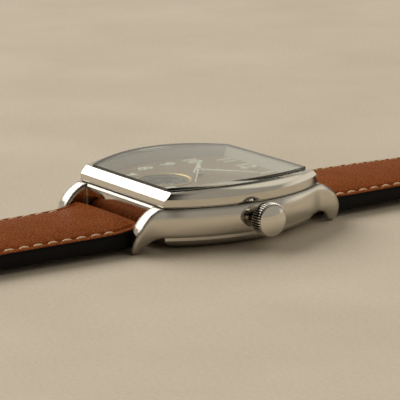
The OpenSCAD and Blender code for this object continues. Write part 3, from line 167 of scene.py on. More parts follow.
@dataclass(frozen=True)
class Metal(Finish):
    """Bare or plated metal: its colour is all in the reflection, and the working shows as fine relief.

    Flat faces get the working, while flanks and bevels are left polished. pitch is the width of one line,
    stripe or spot in millimetres, and relief its depth. Real lines are hundredths of a millimetre wide, so
    they are drawn several times coarser here to show at all. edge sets how far the edges are rounded. Shade
    is painted dark into seams narrower than seam, where the share of open sky falls within its painted-shade
    range. outlined paints into the colour the dark reflection line that upper edges show.
    """

    name: str
    slot: str
    colour: str
    tone: str
    roughness: float = 0.03
    working: Working = Working.MIRROR
    pitch: float = 0.6
    relief: float = 0.0006
    edge: float = 0.05
    seam: float = 0.4
    # Painted shade: the open-sky range over which seams darken, and the dark colour painted into seams, edge
    # lines and flutes
    seam_shade_range: tuple[float, float] = (0.4, 0.78)
    painted_dark_colour: str = "#0C0A08"
    outlined: bool = False

    def height(self, tree: Tree, place: Socket) -> Socket:
        """Lay out the working marks.

        Args:
            tree: the material's node tree.
            place: the object's own place in millimetres.

        Returns:
            Their height, from 0 to 1.
        """
        per_mm = 1 / self.pitch
        if self.working is Working.MIRROR:
            return add(tree, "TexNoise", {"Vector": place, "Scale": per_mm, "Detail": 2.0})
        if self.working is Working.LINEAR:
            drawn = add(tree, "VectorMath", (place, (1.0, 0.04, 1.0)), operation="MULTIPLY")
            return add(tree, "TexNoise", {"Vector": drawn, "Scale": per_mm, "Detail": 3.0})
        if self.working is Working.CIRCULAR:
            return add(tree, "TexWave", {"Vector": place, "Scale": WAVE * per_mm, "Distortion": 1.5,
                                         "Detail": 2.0, "Detail Scale": 0.6},
                       "Fac", wave_type="RINGS", rings_direction="Z")
        if self.working is Working.STRIPES:
            turned = add(tree, "VectorRotate", {"Vector": place, "Angle": math.radians(35)},
                         rotation_type="Z_AXIS")
            wide = add(tree, "TexWave", {"Vector": turned, "Scale": WAVE * per_mm}, "Fac",
                       wave_profile="SAW")
            drawn = add(tree, "VectorMath", (turned, (0.3, 6.0, 1.0)), operation="MULTIPLY")
            fine = add(tree, "TexNoise", {"Vector": drawn, "Scale": 1.2, "Detail": 3.0})
            return add(tree, "Math", (wide, fine), operation="MULTIPLY")
        spots = add(tree, "TexVoronoi", {"Vector": place, "Scale": per_mm, "Randomness": 0.12})
        rings = add(tree, "Math", (spots, 26.0), operation="MULTIPLY")
        waves = add(tree, "Math", (rings,), operation="SINE")
        return add(tree, "Math", (waves, 0.2, spots), operation="MULTIPLY_ADD")

    def bright(self, tree: Tree, place: Socket, soft: Socket) -> Socket | float:
        """Paint a dark reflection line into the colour along the upper edges, where they are outlined.

        Args:
            tree: the material's node tree.
            place: the object's own place in millimetres, not used here.
            soft: the normal with rounded edges.

        Returns:
            The share of the colour that is left, from 0 to 1.
        """
        if not self.outlined:
            return 1.0
        # Painted reflection: darkens near edges where the softened normal faces upward
        true = add(tree, "NewGeometry", out="Normal")
        apart = add(tree, "VectorMath", (soft, true), "Value", operation="DOT_PRODUCT")
        keen = add(tree, "MapRange", (apart, 0.9, 0.985))
        rise = add(tree, "SeparateXYZ", (soft,), "Z")
        below = add(tree, "MapRange", (rise, 0.25, 0.45, 1.0, 0.0))
        return add(tree, "Math", (keen, below), operation="MAXIMUM")

    def shade(self, tree: Tree, place: Socket) -> Socket:
        """Build the metal: tone drift, working marks, handling haze, softened edges and shade painted into
        seams.

        Args:
            tree: the material's node tree.
            place: the object's own place in millimetres.

        Returns:
            The shader's output.
        """
        marks = self.height(tree, place)
        haze = add(tree, "TexNoise", {"Vector": place, "Scale": 0.35, "Detail": 3.0})
        tone = add(tree, "Mix", {0: haze, 6: self.colour, 7: self.tone}, 2, data_type="RGBA")
        rough = add(tree, "MapRange", (haze, 0.3, 0.75, self.roughness * 0.8, self.roughness * 1.35 + 0.01))
        if self.working is not Working.MIRROR:
            facing = add(tree, "TexCoord", out="Normal")
            tilt = add(tree, "SeparateXYZ", (facing,), "Z")
            level = add(tree, "Math", (tilt,), operation="ABSOLUTE")
            flat = add(tree, "MapRange", (level, 0.75, 0.95))
            marks = add(tree, "Math", (marks, flat), operation="MULTIPLY")
            rough = add(tree, "Mix", {0: flat, 2: 0.06, 3: rough})
        soft = add(tree, "Bevel", {"Radius": self.edge * MM}, samples=6)
        bump = add(tree, "Bump", {"Height": marks, "Strength": 0.35, "Distance": self.relief * MM,
                                  "Normal": soft})
        # Painted shade: the colour darkens where little open sky is seen, and the painted dark parts below
        # are multiplied in
        open_sky = add(tree, "AmbientOcclusion", {"Distance": self.seam * MM}, "AO", samples=6)
        unpainted_share = add(tree, "MapRange", (open_sky, *self.seam_shade_range))
        unpainted_share = add(tree, "Math", (unpainted_share, self.bright(tree, place, soft)), operation="MULTIPLY")
        base = add(tree, "Mix", {0: unpainted_share, 6: self.painted_dark_colour, 7: tone}, 2, data_type="RGBA")
        return add(tree, "BsdfPrincipled",
                   {"Base Color": base, "Metallic": 1.0, "Roughness": rough, "Normal": bump})


@dataclass(frozen=True)
class Fluted(Metal):
    """Polished metal with shade painted dark into the flutes of a part that turns about the X direction.

    axis is where the turning axis stands in Y and Z, count the number of flutes and inner the radius from
    which they start, in millimetres.
    """

    axis: tuple[float, float] = (0.0, 5.25)
    count: int = 42
    inner: float = 2.74

    def bright(self, tree: Tree, place: Socket, soft: Socket) -> Socket | float:
        """Paint shade dark into the flutes.

        Args:
            tree: the material's node tree.
            place: the object's own place in millimetres.
            soft: the normal with rounded edges, not needed here.

        Returns:
            The share of the colour that is left, from 0 to 1.
        """
        spot = add(tree, "VectorMath", (place, (0.0, *self.axis)), operation="SUBTRACT")
        y, z = add(tree, "SeparateXYZ", (spot,), "Y"), add(tree, "SeparateXYZ", (spot,), "Z")
        radius = add(tree, "VectorMath", (add(tree, "CombineXYZ", (y, z)),), "Value", operation="LENGTH")
        angle = add(tree, "Math", (z, y), operation="ARCTAN2")
        turns = add(tree, "Math", (angle, float(self.count)), operation="MULTIPLY")
        wave = add(tree, "Math", (turns,), operation="COSINE")
        # Painted shade: dark in the flutes, full colour on the lands and on the face
        land = add(tree, "MapRange", (wave, -0.3, 0.4, 0.02, 1.0))
        face = add(tree, "MapRange", (radius, self.inner - 0.06, self.inner + 0.06, 1.0, 0.0))
        return add(tree, "Math", (land, face), operation="MAXIMUM")


@dataclass(frozen=True)
class Leather(Finish):
    """Vegetable-tanned calf, aniline dyed and waxed: a mottled dye and cell-like grain, with a highlight
    painted on the high spots and shade painted in the hollows.

    cell is the size of a grain cell and relief its depth in millimetres, both about twice the real size so
    that they show. The lighter colour is the highlight painted on the high spots, and crease the shade
    painted in the hollows.
    """

    name: str
    slot: str
    colour: str
    deep: str
    painted_highlight: str
    crease: str
    cell: float = 0.55
    relief: float = 0.12
    roughness: float = 0.42
    shine: float = 0.01

    def shade(self, tree: Tree, place: Socket) -> Socket:
        """Build the leather: grain cells, pores, dye mottling, a highlight painted on the crests and shade
        painted in the creases.

        Args:
            tree: the material's node tree.
            place: the object's own place in millimetres.

        Returns:
            The shader's output.
        """
        sway = add(tree, "TexNoise", {"Vector": place, "Scale": 1.1, "Detail": 3.0}, "Color")
        shift = add(tree, "VectorMath", (sway, (0.5, 0.5, 0.5), place), operation="MULTIPLY_ADD")
        cells = add(tree, "TexVoronoi", {"Vector": shift, "Scale": 1 / self.cell},
                    feature="DISTANCE_TO_EDGE")
        pillow = add(tree, "MapRange", (cells, 0.0, 0.22), interpolation_type="SMOOTHSTEP")
        fine = add(tree, "TexNoise", {"Vector": shift, "Scale": 2.6, "Detail": 4.0})
        wave = add(tree, "TexNoise", {"Vector": place, "Scale": 0.55, "Detail": 2.0})
        height = add(tree, "Math", (fine, 1.6, pillow), operation="MULTIPLY_ADD")
        tall = add(tree, "Math", (wave, 0.6, height), operation="MULTIPLY_ADD")
        mottle = add(tree, "TexNoise", {"Vector": place, "Scale": 0.22, "Detail": 6.0, "Roughness": 0.6})
        blot = add(tree, "MapRange", (mottle, 0.36, 0.66))
        dye = add(tree, "Mix", {0: blot, 6: self.deep, 7: self.colour}, 2, data_type="RGBA")
        # Painted highlight on the grain's crests
        crest = add(tree, "MapRange", (height, 1.35, 1.95, 0.0, 0.5))
        top = add(tree, "Mix", {0: crest, 6: dye, 7: self.painted_highlight}, 2, data_type="RGBA")
        # Painted shade in the grain's hollows
        low = add(tree, "MapRange", (height, 0.6, 1.35, 0.42, 0.0))
        base = add(tree, "Mix", {0: low, 6: top, 7: self.crease}, 2, data_type="RGBA")
        rough = add(tree, "MapRange", (fine, 0.3, 0.7, self.roughness - 0.07, self.roughness + 0.12))
        bump = add(tree, "Bump", {"Height": tall, "Strength": 1.0, "Distance": self.relief * MM})
        return add(tree, "BsdfPrincipled", {"Base Color": base, "Roughness": rough, "IOR": 1.5,
                                            "Specular IOR Level": self.shine, "Normal": bump})


@dataclass(frozen=True)
class Thread(Finish):
    """Waxed three-ply linen thread: matt, with a ply every 0.42 mm."""

    name: str = "waxed_linen_thread"
    slot: str = "tan_leather"
    colour: str = "#FBDDB8"
    deep: str = "#D2A070"
    ply: float = 0.42

    def shade(self, tree: Tree, place: Socket) -> Socket:
        """Build the thread: slanted plies, fibre fuzz and hollows darker than the plies.

        Args:
            tree: the material's node tree.
            place: the object's own place in millimetres.

        Returns:
            The shader's output.
        """
        turned = add(tree, "VectorRotate", {"Vector": place, "Angle": math.radians(38)},
                     rotation_type="Z_AXIS")
        plies = add(tree, "TexWave", {"Vector": turned, "Scale": WAVE / self.ply, "Distortion": 0.6}, "Fac")
        fuzz = add(tree, "TexNoise", {"Vector": place, "Scale": 14.0, "Detail": 3.0})
        height = add(tree, "Math", (fuzz, 0.5, plies), operation="MULTIPLY_ADD")
        tint = add(tree, "MapRange", (height, 0.2, 0.8))
        base = add(tree, "Mix", {0: tint, 6: self.deep, 7: self.colour}, 2, data_type="RGBA")
        bump = add(tree, "Bump", {"Height": height, "Strength": 0.7, "Distance": 0.05 * MM})
        return add(tree, "BsdfPrincipled", {"Base Color": base, "Roughness": 0.62, "IOR": 1.5,
                                            "Sheen Weight": 0.25, "Normal": bump})


@dataclass(frozen=True)
class Sapphire(Finish):
    """Ground and polished synthetic sapphire: clear, highly refractive, with a faint breath of handling."""

    name: str = "polished_sapphire"
    slot: str = "sapphire"
    colour: str = "#F4F6F1"
    shade_colour: str = "#EDF0EA"
    ior: float = 1.77

    def shade(self, tree: Tree, place: Socket) -> Socket:
        """Build the glass, which lets lamp light through to what lies under it.

        Args:
            tree: the material's node tree.
            place: the object's own place in millimetres.

        Returns:
            The shader's output.
        """
        smear = add(tree, "TexNoise", {"Vector": place, "Scale": 0.3, "Detail": 3.0})
        rough = add(tree, "MapRange", (smear, 0.5, 0.9, 0.0, 0.01))
        glass = add(tree, "BsdfPrincipled", {"Base Color": self.colour, "Roughness": rough, "IOR": self.ior,
                                             "Transmission Weight": 1.0})
        clear = add(tree, "BsdfTransparent", (self.shade_colour,))
        return add(tree, "MixShader", (add(tree, "LightPath", out="Is Shadow Ray"), glass, clear))


@dataclass(frozen=True)
class Grained(Finish):
    """Turned ruby or moulded rubber: one fine grain, which clouds the colour and pits the surface.

    per_mm is the number of grains per millimetre, and depth the depth of the pits in millimetres.
    """

    name: str
    slot: str
    deep: str
    colour: str
    roughness: float
    ior: float
    per_mm: float
    detail: float
    strength: float
    depth: float
    see_through: float = 0.0

    def shade(self, tree: Tree, place: Socket) -> Socket:
        """Build the surface with its grain.

        Args:
            tree: the material's node tree.
            place: the object's own place in millimetres.

        Returns:
            The shader's output.
        """
        grain = add(tree, "TexNoise", {"Vector": place, "Scale": self.per_mm, "Detail": self.detail})
        base = add(tree, "Mix", {0: grain, 6: self.deep, 7: self.colour}, 2, data_type="RGBA")
        bump = add(tree, "Bump", {"Height": grain, "Strength": self.strength, "Distance": self.depth * MM})
        return add(tree, "BsdfPrincipled", {"Base Color": base, "Roughness": self.roughness, "IOR": self.ior,
                                            "Transmission Weight": self.see_through, "Normal": bump})


@dataclass(frozen=True)
class Lacquer(Finish):
    """Lacquered brass for dial, flange and printing: fine cast grain under a satin coat.

    grain is the size of the lacquer's texture in millimetres, drawn coarser than the real 0.02 mm.
    """

    name: str
    slot: str
    colour: str
    deep: str
    roughness: float = 0.38
    grain: float = 0.12
    coat: float = 0.35
    shine: float = 0.5

    def shade(self, tree: Tree, place: Socket) -> Socket:
        """Build the lacquer: sun-ray drift, fine grain and a clear coat.

        Args:
            tree: the material's node tree.
            place: the object's own place in millimetres.

        Returns:
            The shader's output.
        """
        grain = add(tree, "TexNoise", {"Vector": place, "Scale": 1 / self.grain, "Detail": 4.0})
        rays = add(tree, "TexGradient", (place,), "Fac", gradient_type="RADIAL")
        many = add(tree, "CombineXYZ", (rays,))
        beams = add(tree, "TexNoise", {"Vector": many, "Scale": 90.0, "Detail": 3.0})
        drift = add(tree, "Math", (grain, 0.35, beams), operation="MULTIPLY_ADD")
        tint = add(tree, "MapRange", (drift, 0.45, 0.9))
        base = add(tree, "Mix", {0: tint, 6: self.deep, 7: self.colour}, 2, data_type="RGBA")
        bump = add(tree, "Bump", {"Height": drift, "Strength": 0.25, "Distance": 0.008 * MM})
        return add(tree, "BsdfPrincipled",
                   {"Base Color": base, "Roughness": self.roughness, "IOR": 1.5, "Normal": bump,
                    "Specular IOR Level": self.shine, "Coat Weight": self.coat, "Coat Roughness": 0.08})


@dataclass(frozen=True)
class Tabletop(Finish):
    """Matt painted board under the watch: pale beige with a very fine roller texture."""

    name: str = "painted_board"
    slot: str = ""
    colour: str = "#E3D6C3"
    deep: str = "#D1C3AE"

    def shade(self, tree: Tree, place: Socket) -> Socket:
        """Build the paint with faint mottling.

        Args:
            tree: the material's node tree.
            place: the object's own place in millimetres.

        Returns:
            The shader's output.
        """
        blot = add(tree, "TexNoise", {"Vector": place, "Scale": 0.03, "Detail": 6.0})
        fine = add(tree, "TexNoise", {"Vector": place, "Scale": 1.4, "Detail": 3.0})
        fleck = add(tree, "Math", (fine, 0.9, blot), operation="MULTIPLY_ADD")
        tint = add(tree, "MapRange", (fleck, 0.6, 1.3))
        base = add(tree, "Mix", {0: tint, 6: self.deep, 7: self.colour}, 2, data_type="RGBA")
        bump = add(tree, "Bump", {"Height": fine, "Strength": 0.35, "Distance": 0.05 * MM})
        return add(tree, "BsdfPrincipled", {"Base Color": base, "Roughness": 0.7, "IOR": 1.45,
                                            "Normal": bump})


# 316L steel buffed with fine compound: a spotless mirror with a trace of haze, and shade painted into its
#                                       narrow seams
POLISHED_STEEL = Metal("mirror_316l_steel", "polished_steel", "#DAD5CC", "#D0CAC0", edge=0.3, seam=0.18)
# The case middle of the same steel, buffed longer, so that its edges are rounder, with a dark reflection
# line painted along its upper edges and shade painted into its seams
CASE_STEEL = Metal("buffed_316l_case_steel", "polished_steel", "#DAD5CC", "#D0CAC0", edge=1.3, outlined=True)
# The crown of the same steel, with shade painted dark into its flutes
CROWN_STEEL = Fluted("fluted_316l_crown_steel", "polished_steel", "#E4DFD6", "#DAD4CA", edge=0.08)
# 316L steel brushed in circles on the back, so that highlights fan out
BRUSHED_STEEL = Metal("circular_brushed_316l_steel", "polished_steel", "#CFCBC4", "#C2BDB5", 0.24,
                      Working.CIRCULAR, pitch=0.16, relief=0.006)
# Hardened carbon steel, turned: darker and crisper than the case steel
HARD_STEEL = Metal("turned_hard_steel", "hard_steel", "#C4C2BE", "#B3B0AB", 0.14, Working.CIRCULAR,
                   pitch=0.1, relief=0.003)
# Silver plate frosted for hands and numerals, so that they stay pale from every side
FROSTED_SILVER = Lacquer("frosted_silver_plate", "hand_steel", "#FBF9F4", "#F0ECE4", 0.4, 0.06, 0.2)
# Rhodium-plated brass with straight grinding stripes 1.5 mm wide
STRIPED_RHODIUM = Metal("striped_rhodium_plate", "rhodium_plate", "#D3D1CB", "#BDBAB2", 0.22,
                        Working.STRIPES, pitch=1.5, relief=0.05)
# Rhodium-plated brass spotted all over with a 1.1 mm peg
SPOTTED_RHODIUM = Metal("perlage_rhodium_plate", "rhodium_plate", "#C6C4BD", "#ADAAA2", 0.25,
                        Working.PERLAGE, pitch=1.1, relief=0.05)
# Rhodium-plated brass brushed straight for rings and small bridges
SATIN_RHODIUM = Metal("satin_rhodium_plate", "rhodium_plate", "#CBC9C3", "#B7B4AD", 0.27, Working.LINEAR,
                      pitch=0.12, relief=0.01)
# Steel blued over a flame: deep blue with a violet drift
BLUED_STEEL = Metal("flame_blued_steel", "blued_steel", "#2B4C9A", "#3A2F86", 0.12, pitch=0.4, relief=0.001)
# Gold-plated brass wheels, circularly grained
GILT_BRASS = Metal("gilt_grained_brass", "gilt_brass", "#E3BE74", "#CFA254", 0.2, Working.CIRCULAR,
                   pitch=0.14, relief=0.005)
# Gold-plated brass, polished: the ring round the opening and the balance
GILT_POLISH = Metal("gilt_polished_brass", "gilt_brass", "#E6C786", "#D3B06C", 0.3, pitch=0.5, relief=0.0008)
# Tungsten alloy of the rotor's rim: heavy, dark and turned
TUNGSTEN = Metal("turned_tungsten", "hard_steel", "#8F8C88", "#7B7874", 0.28, Working.CIRCULAR,
                 pitch=0.2, relief=0.006)
# Cognac calf, waxed: the strap's upper, its lighter colour a highlight painted on the grain's crests and its
# darkest the shade painted in the hollows
TAN_CALF = Leather("cognac_waxed_calf", "tan_leather", "#9D5124", "#914A1F", "#C07443", "#5C290F")
# Black calf lining, smoother than the upper, with the same painted highlight on the crests and painted shade
# in the hollows
BLACK_CALF = Leather("black_lining_calf", "black_leather", "#171210", "#0C0908", "#221B17", "#050404",
                     cell=0.6, relief=0.03, roughness=0.55, shine=0.15)
# Edge paint, rolled on and buffed: smooth and nearly black
EDGE_PAINT = Lacquer("burnished_edge_paint", "black_leather", "#0E0B0A", "#080606", 0.5, 0.5, 0.0, 0.15)
LINEN = Thread()
SAPPHIRE = Sapphire()
# Synthetic ruby, turned and polished: deep pink, glossy and slightly see-through
RUBY = Grained("polished_ruby", "ruby", "#A3123F", "#D2335F", 0.06, 1.76, 2.5, 2.0, 0.1, 0.01, 0.3)
# Moulded nitrile rubber: near black and satin, with the fine pitting of the mould
NITRILE = Grained("moulded_nitrile", "black_seal", "#0D0D0E", "#202022", 0.55, 1.52, 12.0, 3.0, 0.4, 0.02)
# Dial blank under satin lacquer: a warm brown with faint sun rays
DIAL_LACQUER = Lacquer("satin_dial_lacquer", "dial_lacquer", "#866238", "#704E28", 0.45, 0.12, 0.1)
# Flange ring in satin lacquer, greyer than the dial
FLANGE_LACQUER = Lacquer("satin_flange_lacquer", "flange_grey", "#9E9885", "#8B8573", 0.3)
# Pad-printed ink of the minute track: pale and matt
TRACK_INK = Lacquer("pad_printed_ink", "dial_lacquer", "#E9E6DC", "#D8D4C8", 0.5, 0.1, 0.0)


# Mesh making


def into_scene(name: str, data: bpy.types.ID) -> bpy.types.Object:
    """Put some data into the scene.

    Args:
        name: the new object's name.
        data: a mesh, curve, lamp or camera.

    Returns:
        The new object.
    """
    obj = bpy.data.objects.new(name, data)
    bpy.context.scene.collection.objects.link(obj)
    return obj


def turns(count: int) -> list[float]:
    """Return evenly spaced angles round a circle."""
    return [2 * math.pi * k / count for k in range(count)]


def piece(name: str, form: Form, finish: Finish, sharp: float = 40.0) -> bpy.types.Object:
    """Make one mesh piece and give it a finish.

    Args:
        name: the piece's name.
        form: its points in millimetres and its faces.
        finish: the finish that it gets.
        sharp: edges that turn by more than this many degrees stay sharp.

    Returns:
        The new object.
    """
    mesh = bpy.data.meshes.new(name)
    mesh.from_pydata([(x * MM, y * MM, z * MM) for x, y, z in form[0]], [], form[1])
    mesh.validate()
    mesh.polygons.foreach_set("use_smooth", [True] * len(mesh.polygons))
    mesh.set_sharp_from_angle(angle=math.radians(sharp))
    mesh.materials.append(finish.material())
    obj = into_scene(name, mesh)
    LOG.info("made %s", name)
    return obj


def joined(forms: Iterable[Form]) -> Form:
    """Put several forms into one.

    Args:
        forms: the forms.

    Returns:
        All their points and faces.
    """
    points: list[Point] = []
    faces: list[list[int]] = []
    for some, theirs in forms:
        faces += [[len(points) + i for i in face] for face in theirs]
        points += some
    return points, faces


def loft(rings: Sequence[Sequence[Point]], closed: bool = False) -> Form:
    """Join rings of equal length by quads.

    Args:
        rings: closed rings of points, each in the same order.
        closed: whether the last ring joins the first; otherwise both ends get a cap.

    Returns:
        The form.
    """
    count, total = len(rings[0]), len(rings)
    faces = []
    for i in range(total if closed else total - 1):
        j = (i + 1) % total
        for k in range(count):
            m = (k + 1) % count
            faces.append([i * count + k, i * count + m, j * count + m, j * count + k])
    if not closed:
        faces.append(list(range(count))[::-1])
        faces.append([(total - 1) * count + k for k in range(count)])
    return [p for ring in rings for p in ring], faces


def rod(axis: str, place: Point, radius: float, length: float, sides: int = 32) -> Form:
    """Shape a round cutter.

    Args:
        axis: the direction along which it lies, x or z.
        place: its middle.
        radius: its radius.
        length: its length.
        sides: how many sides its round has.

    Returns:
        The form.
    """
    first, second, along = {"x": (1, 2, 0), "z": (0, 1, 2)}[axis]
    rings: list[list[Point]] = [[], []]
    for ring, end in zip(rings, (-0.5, 0.5)):
        for a in turns(sides):
            p = list(place)
            p[first] += radius * math.cos(a)
            p[second] += radius * math.sin(a)
            p[along] += end * length
            ring.append(tuple(p))
    return loft(rings)


def cut(obj: bpy.types.Object, form: Form) -> None:
    """Cut a closed form out of a piece and keep its face materials.

    Args:
        obj: the piece.
        form: the form in millimetres.
    """
    mesh = bpy.data.meshes.new("cutter")
    mesh.from_pydata([(x * MM, y * MM, z * MM) for x, y, z in form[0]], [], form[1])
    tool = into_scene("cutter", mesh)
    change = obj.modifiers.new("cut", "BOOLEAN")
    change.operation = "DIFFERENCE"
    change.solver = "EXACT"
    change.object = tool
    obj.data = evaluated_mesh(obj)
    obj.modifiers.clear()
    obj.data.polygons.foreach_set("use_smooth", [True] * len(obj.data.polygons))
    obj.data.set_sharp_from_angle(angle=math.radians(40))
    bpy.data.objects.remove(tool)


def evaluated_mesh(obj: bpy.types.Object) -> bpy.types.Mesh:
    """Take an object's mesh with its modifiers applied.

    Args:
        obj: the object.

    Returns:
        A new mesh.
    """
    seen = bpy.context.evaluated_depsgraph_get()
    seen.update()
    return bpy.data.meshes.new_from_object(obj.evaluated_get(seen))


def paint_edges(obj: bpy.types.Object, chosen: Callable[[bpy.types.MeshPolygon], bool]) -> None:
    """Give the cut edges of a leather piece their edge paint.

    Args:
        obj: the piece.
        chosen: tells whether a face lies on a cut edge.
    """
    obj.data.materials.append(EDGE_PAINT.material())
    for face in obj.data.polygons:
        face.material_index = int(chosen(face))


def smoothing_group(angle: float) -> bpy.types.NodeTree:
    """Hand out a modifier group that welds a CAD mesh and shades it smoothly up to an angle.

    Args:
        angle: edges that turn by more than this many degrees stay sharp.

    Returns:
        The geometry node group.
    """
    name = f"smooth_by_{angle:g}_degrees"
    group = bpy.data.node_groups.get(name)
    if group is None:
        group = bpy.data.node_groups.new(name, "GeometryNodeTree")
        for way in ("INPUT", "OUTPUT"):
            group.interface.new_socket("Geometry", in_out=way, socket_type="NodeSocketGeometry")
        shape = add(group, "NodeGroupInput")
        shape = add(group, "GeometryNodeRemoveAttribute", {"Geometry": shape, "Name": "custom_normal"})
        shape = add(group, "GeometryNodeMergeByDistance", {"Geometry": shape, "Distance": 2e-7})
        shape = add(group, "GeometryNodeSetShadeSmooth", {"Geometry": shape, "Shade Smooth": True})
        turn = add(group, "GeometryNodeInputMeshEdgeAngle")
        flat = add(group, "FunctionNodeCompare", {0: turn, 1: math.radians(angle)}, operation="LESS_THAN")
        shape = add(group, "GeometryNodeSetShadeSmooth", {"Geometry": shape, "Shade Smooth": flat},
                    domain="EDGE")
        add(group, "NodeGroupOutput", (shape,))
    return group


def dress(finish: Finish, *nodes: str, smooth: float = 0.0) -> None:
    """Give CAD nodes a finish, and shade them smoothly where a lofted solid came as flat facets.

    Args:
        finish: the finish.
        *nodes: names of the CAD nodes.
        smooth: the angle in degrees up to which edges are shaded smoothly, or 0 to leave the shading.
    """
    for name in nodes:
        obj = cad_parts[name]
        if not obj.material_slots:
            obj.data.materials.append(finish.material())
        for place in obj.material_slots:
            place.material = finish.material()
        if smooth:
            obj.modifiers.new("smooth_by_angle", "NODES").node_group = smoothing_group(smooth)
        LOG.info("dressed %s with %s", name, finish.name)


# Sub-assemblies


@dataclass(frozen=True)
class Wall:
    """A lit part of the room.

    facing is the direction of its middle, and across the cosines to it at which the light starts and is
    full. up holds the heights of a direction, from -1 to 1, at which it is dark and fully lit, and level is
    its brightness, where 1 is white.
    """

    facing: Point
    across: tuple[float, float]
    up: tuple[float, float]
    level: float

    def shade(self, tree: Tree, way: Socket) -> Socket:
        """Lay out its light.

        Args:
            tree: the world's node tree.
            way: the direction looked in.

        Returns:
            The brightness.
        """
        height = add(tree, "SeparateXYZ", (way,), "Z")
        low = add(tree, "MapRange", (height, self.up[1], self.up[0], self.level, 0.0),
                  interpolation_type="SMOOTHSTEP")
        near = add(tree, "VectorMath", (way, self.facing), "Value", operation="DOT_PRODUCT")
        lit = add(tree, "MapRange", (near, *self.across), interpolation_type="SMOOTHSTEP")
        return add(tree, "Math", (low, lit), operation="MULTIPLY")


@dataclass
class Studio:
    """Table, light and camera. The camera stands where the photograph was taken from.

    Lengths are in millimetres, those of the window in metres. window_level and dark_level say how bright the
    window's face and the unlit room look, where 1 is white.
    """

    azimuth: float = 54.86
    elevation: float = 14.14
    distance: float = 400.0
    focal_px: float = 2167.6
    image_px: float = 400.0
    origin_px: tuple[float, float] = (198.95, 224.12)
    sensor: float = 36.0
    board: float = 3000.0
    board_t: float = 18.0
    board_ease: float = 4.0
    window_way: Point = (-0.70, -0.24, 0.67)
    window_away: float = 9.0
    window_size: tuple[float, float] = (13.2, 6.4)
    window_level: float = 2.92
    window_colour: str = "#FFFBF3"
    room_colour: str = "#D6D0C2"
    dark_level: float = 0.03
    # The wall behind, the one in front, the ceiling, a bright patch high on the right and the right wall
    ROOM: ClassVar[tuple[Wall, ...]] = (
        Wall((-0.82, 0.57, 0.0), (-0.3, 0.6), (0.75, 0.25), 0.8),
        Wall((0.6, 0.8, 0.0), (0.1, 0.4), (0.99, 0.93), 0.55),
        Wall((0.3, 0.95, 0.0), (-0.28, -0.08), (0.82, 0.93), 0.5),
        Wall((0.1, 0.72, 0.69), (0.84, 0.98), (2.0, 1.5), 1.3),
        Wall((0.0, 1.0, 0.0), (0.68, 0.95), (0.8, 0.4), 1.3))

    def build_camera(self) -> None:
        """Place the camera and turn it so that the table's origin lands on its pixel."""
        a, e = math.radians(self.azimuth), math.radians(self.elevation)
        eye = Vector((math.sin(a) * math.cos(e), -math.cos(a) * math.cos(e), math.sin(e)))
        right = Vector((math.cos(a), math.sin(a), 0.0))
        off_x, off_y = (px - self.image_px / 2 for px in self.origin_px)
        back = (eye * self.focal_px + right * off_x - eye.cross(right) * off_y).normalized()
        right = Vector((0, 0, 1)).cross(back).normalized()
        data = bpy.data.cameras.new("photo_camera")
        data.sensor_width = self.sensor
        data.lens = self.focal_px * self.sensor / self.image_px
        data.clip_start, data.clip_end = 0.01, 20.0
        camera = into_scene("photo_camera", data)
        turn = Matrix((right, back.cross(right), back)).transposed().to_4x4()
        camera.matrix_world = Matrix.Translation(eye * self.distance * MM) @ turn
        bpy.context.scene.camera = camera

    def build_table(self) -> None:
        """Lay a pale board under the watch, with eased edges."""
        ease = self.board_ease
        rings = []
        for out, z in ((0.0, -self.board_t), (0.0, -ease), (-ease * 0.3, -ease * 0.3), (-ease, 0.0)):
            r = self.board / 2 + out
            rings.append([(-r, -r, z), (r, -r, z), (r, r, z), (-r, r, z)])
        piece("table_board", loft(rings), Tabletop(), 10.0)

    def build_light(self) -> None:
        """Hang the window's soft box so far away that it lights the table evenly, and light the room."""
        data = bpy.data.lights.new("window_light", "AREA")
        data.shape = "RECTANGLE"
        data.size, data.size_y = self.window_size
        data.energy = self.window_level * math.pi * math.prod(self.window_size)
        data.color = linear(self.window_colour)[:3]
        lamp = into_scene("window_light", data)
        direction = Vector(self.window_way).normalized()
        lamp.location = direction * self.window_away
        lamp.rotation_euler = direction.to_track_quat("Z", "Y").to_euler()
        world = bpy.data.worlds.new("room")
        world.use_nodes = True
        tree = world.node_tree
        tree.nodes.clear()
        way = add(tree, "TexCoord", out="Generated")
        level: float | Socket = self.dark_level
        for wall in self.ROOM:
            level = add(tree, "Math", (wall.shade(tree, way), level), operation="MAXIMUM")
        room = add(tree, "Background", {"Color": self.room_colour, "Strength": level})
        add(tree, "OutputWorld", (room,))
        bpy.context.scene.world = world

    def build(self) -> None:
        """Build camera, table and light."""
        self.build_camera()
        self.build_table()
        self.build_light()
        bpy.context.scene.view_settings.view_transform = "Standard"


@dataclass
class WatchCase:
    """Case middle, bezel, crystal, back and crown, all carried over from the frame."""

    facet_angle: float = 18.0
    crown_angle: float = 25.0

    def build(self) -> None:
        """Dress the case nodes."""
        dress(CASE_STEEL, "case_middle", smooth=self.facet_angle)
        dress(POLISHED_STEEL, "bezel", smooth=self.facet_angle)
        dress(CROWN_STEEL, "crown", smooth=self.crown_angle)
        dress(BRUSHED_STEEL, "case_back")
        dress(HARD_STEEL, "case_back_screws", "winding_stem", "sliding_pinion", "crown_tube",
              "spring_bar_12", "spring_bar_6")
        dress(SAPPHIRE, "crystal", "case_back_window")
        dress(NITRILE, "crystal_seal", "case_back_seal", "crown_seal")
        dress(FLANGE_LACQUER, "flange_ring")


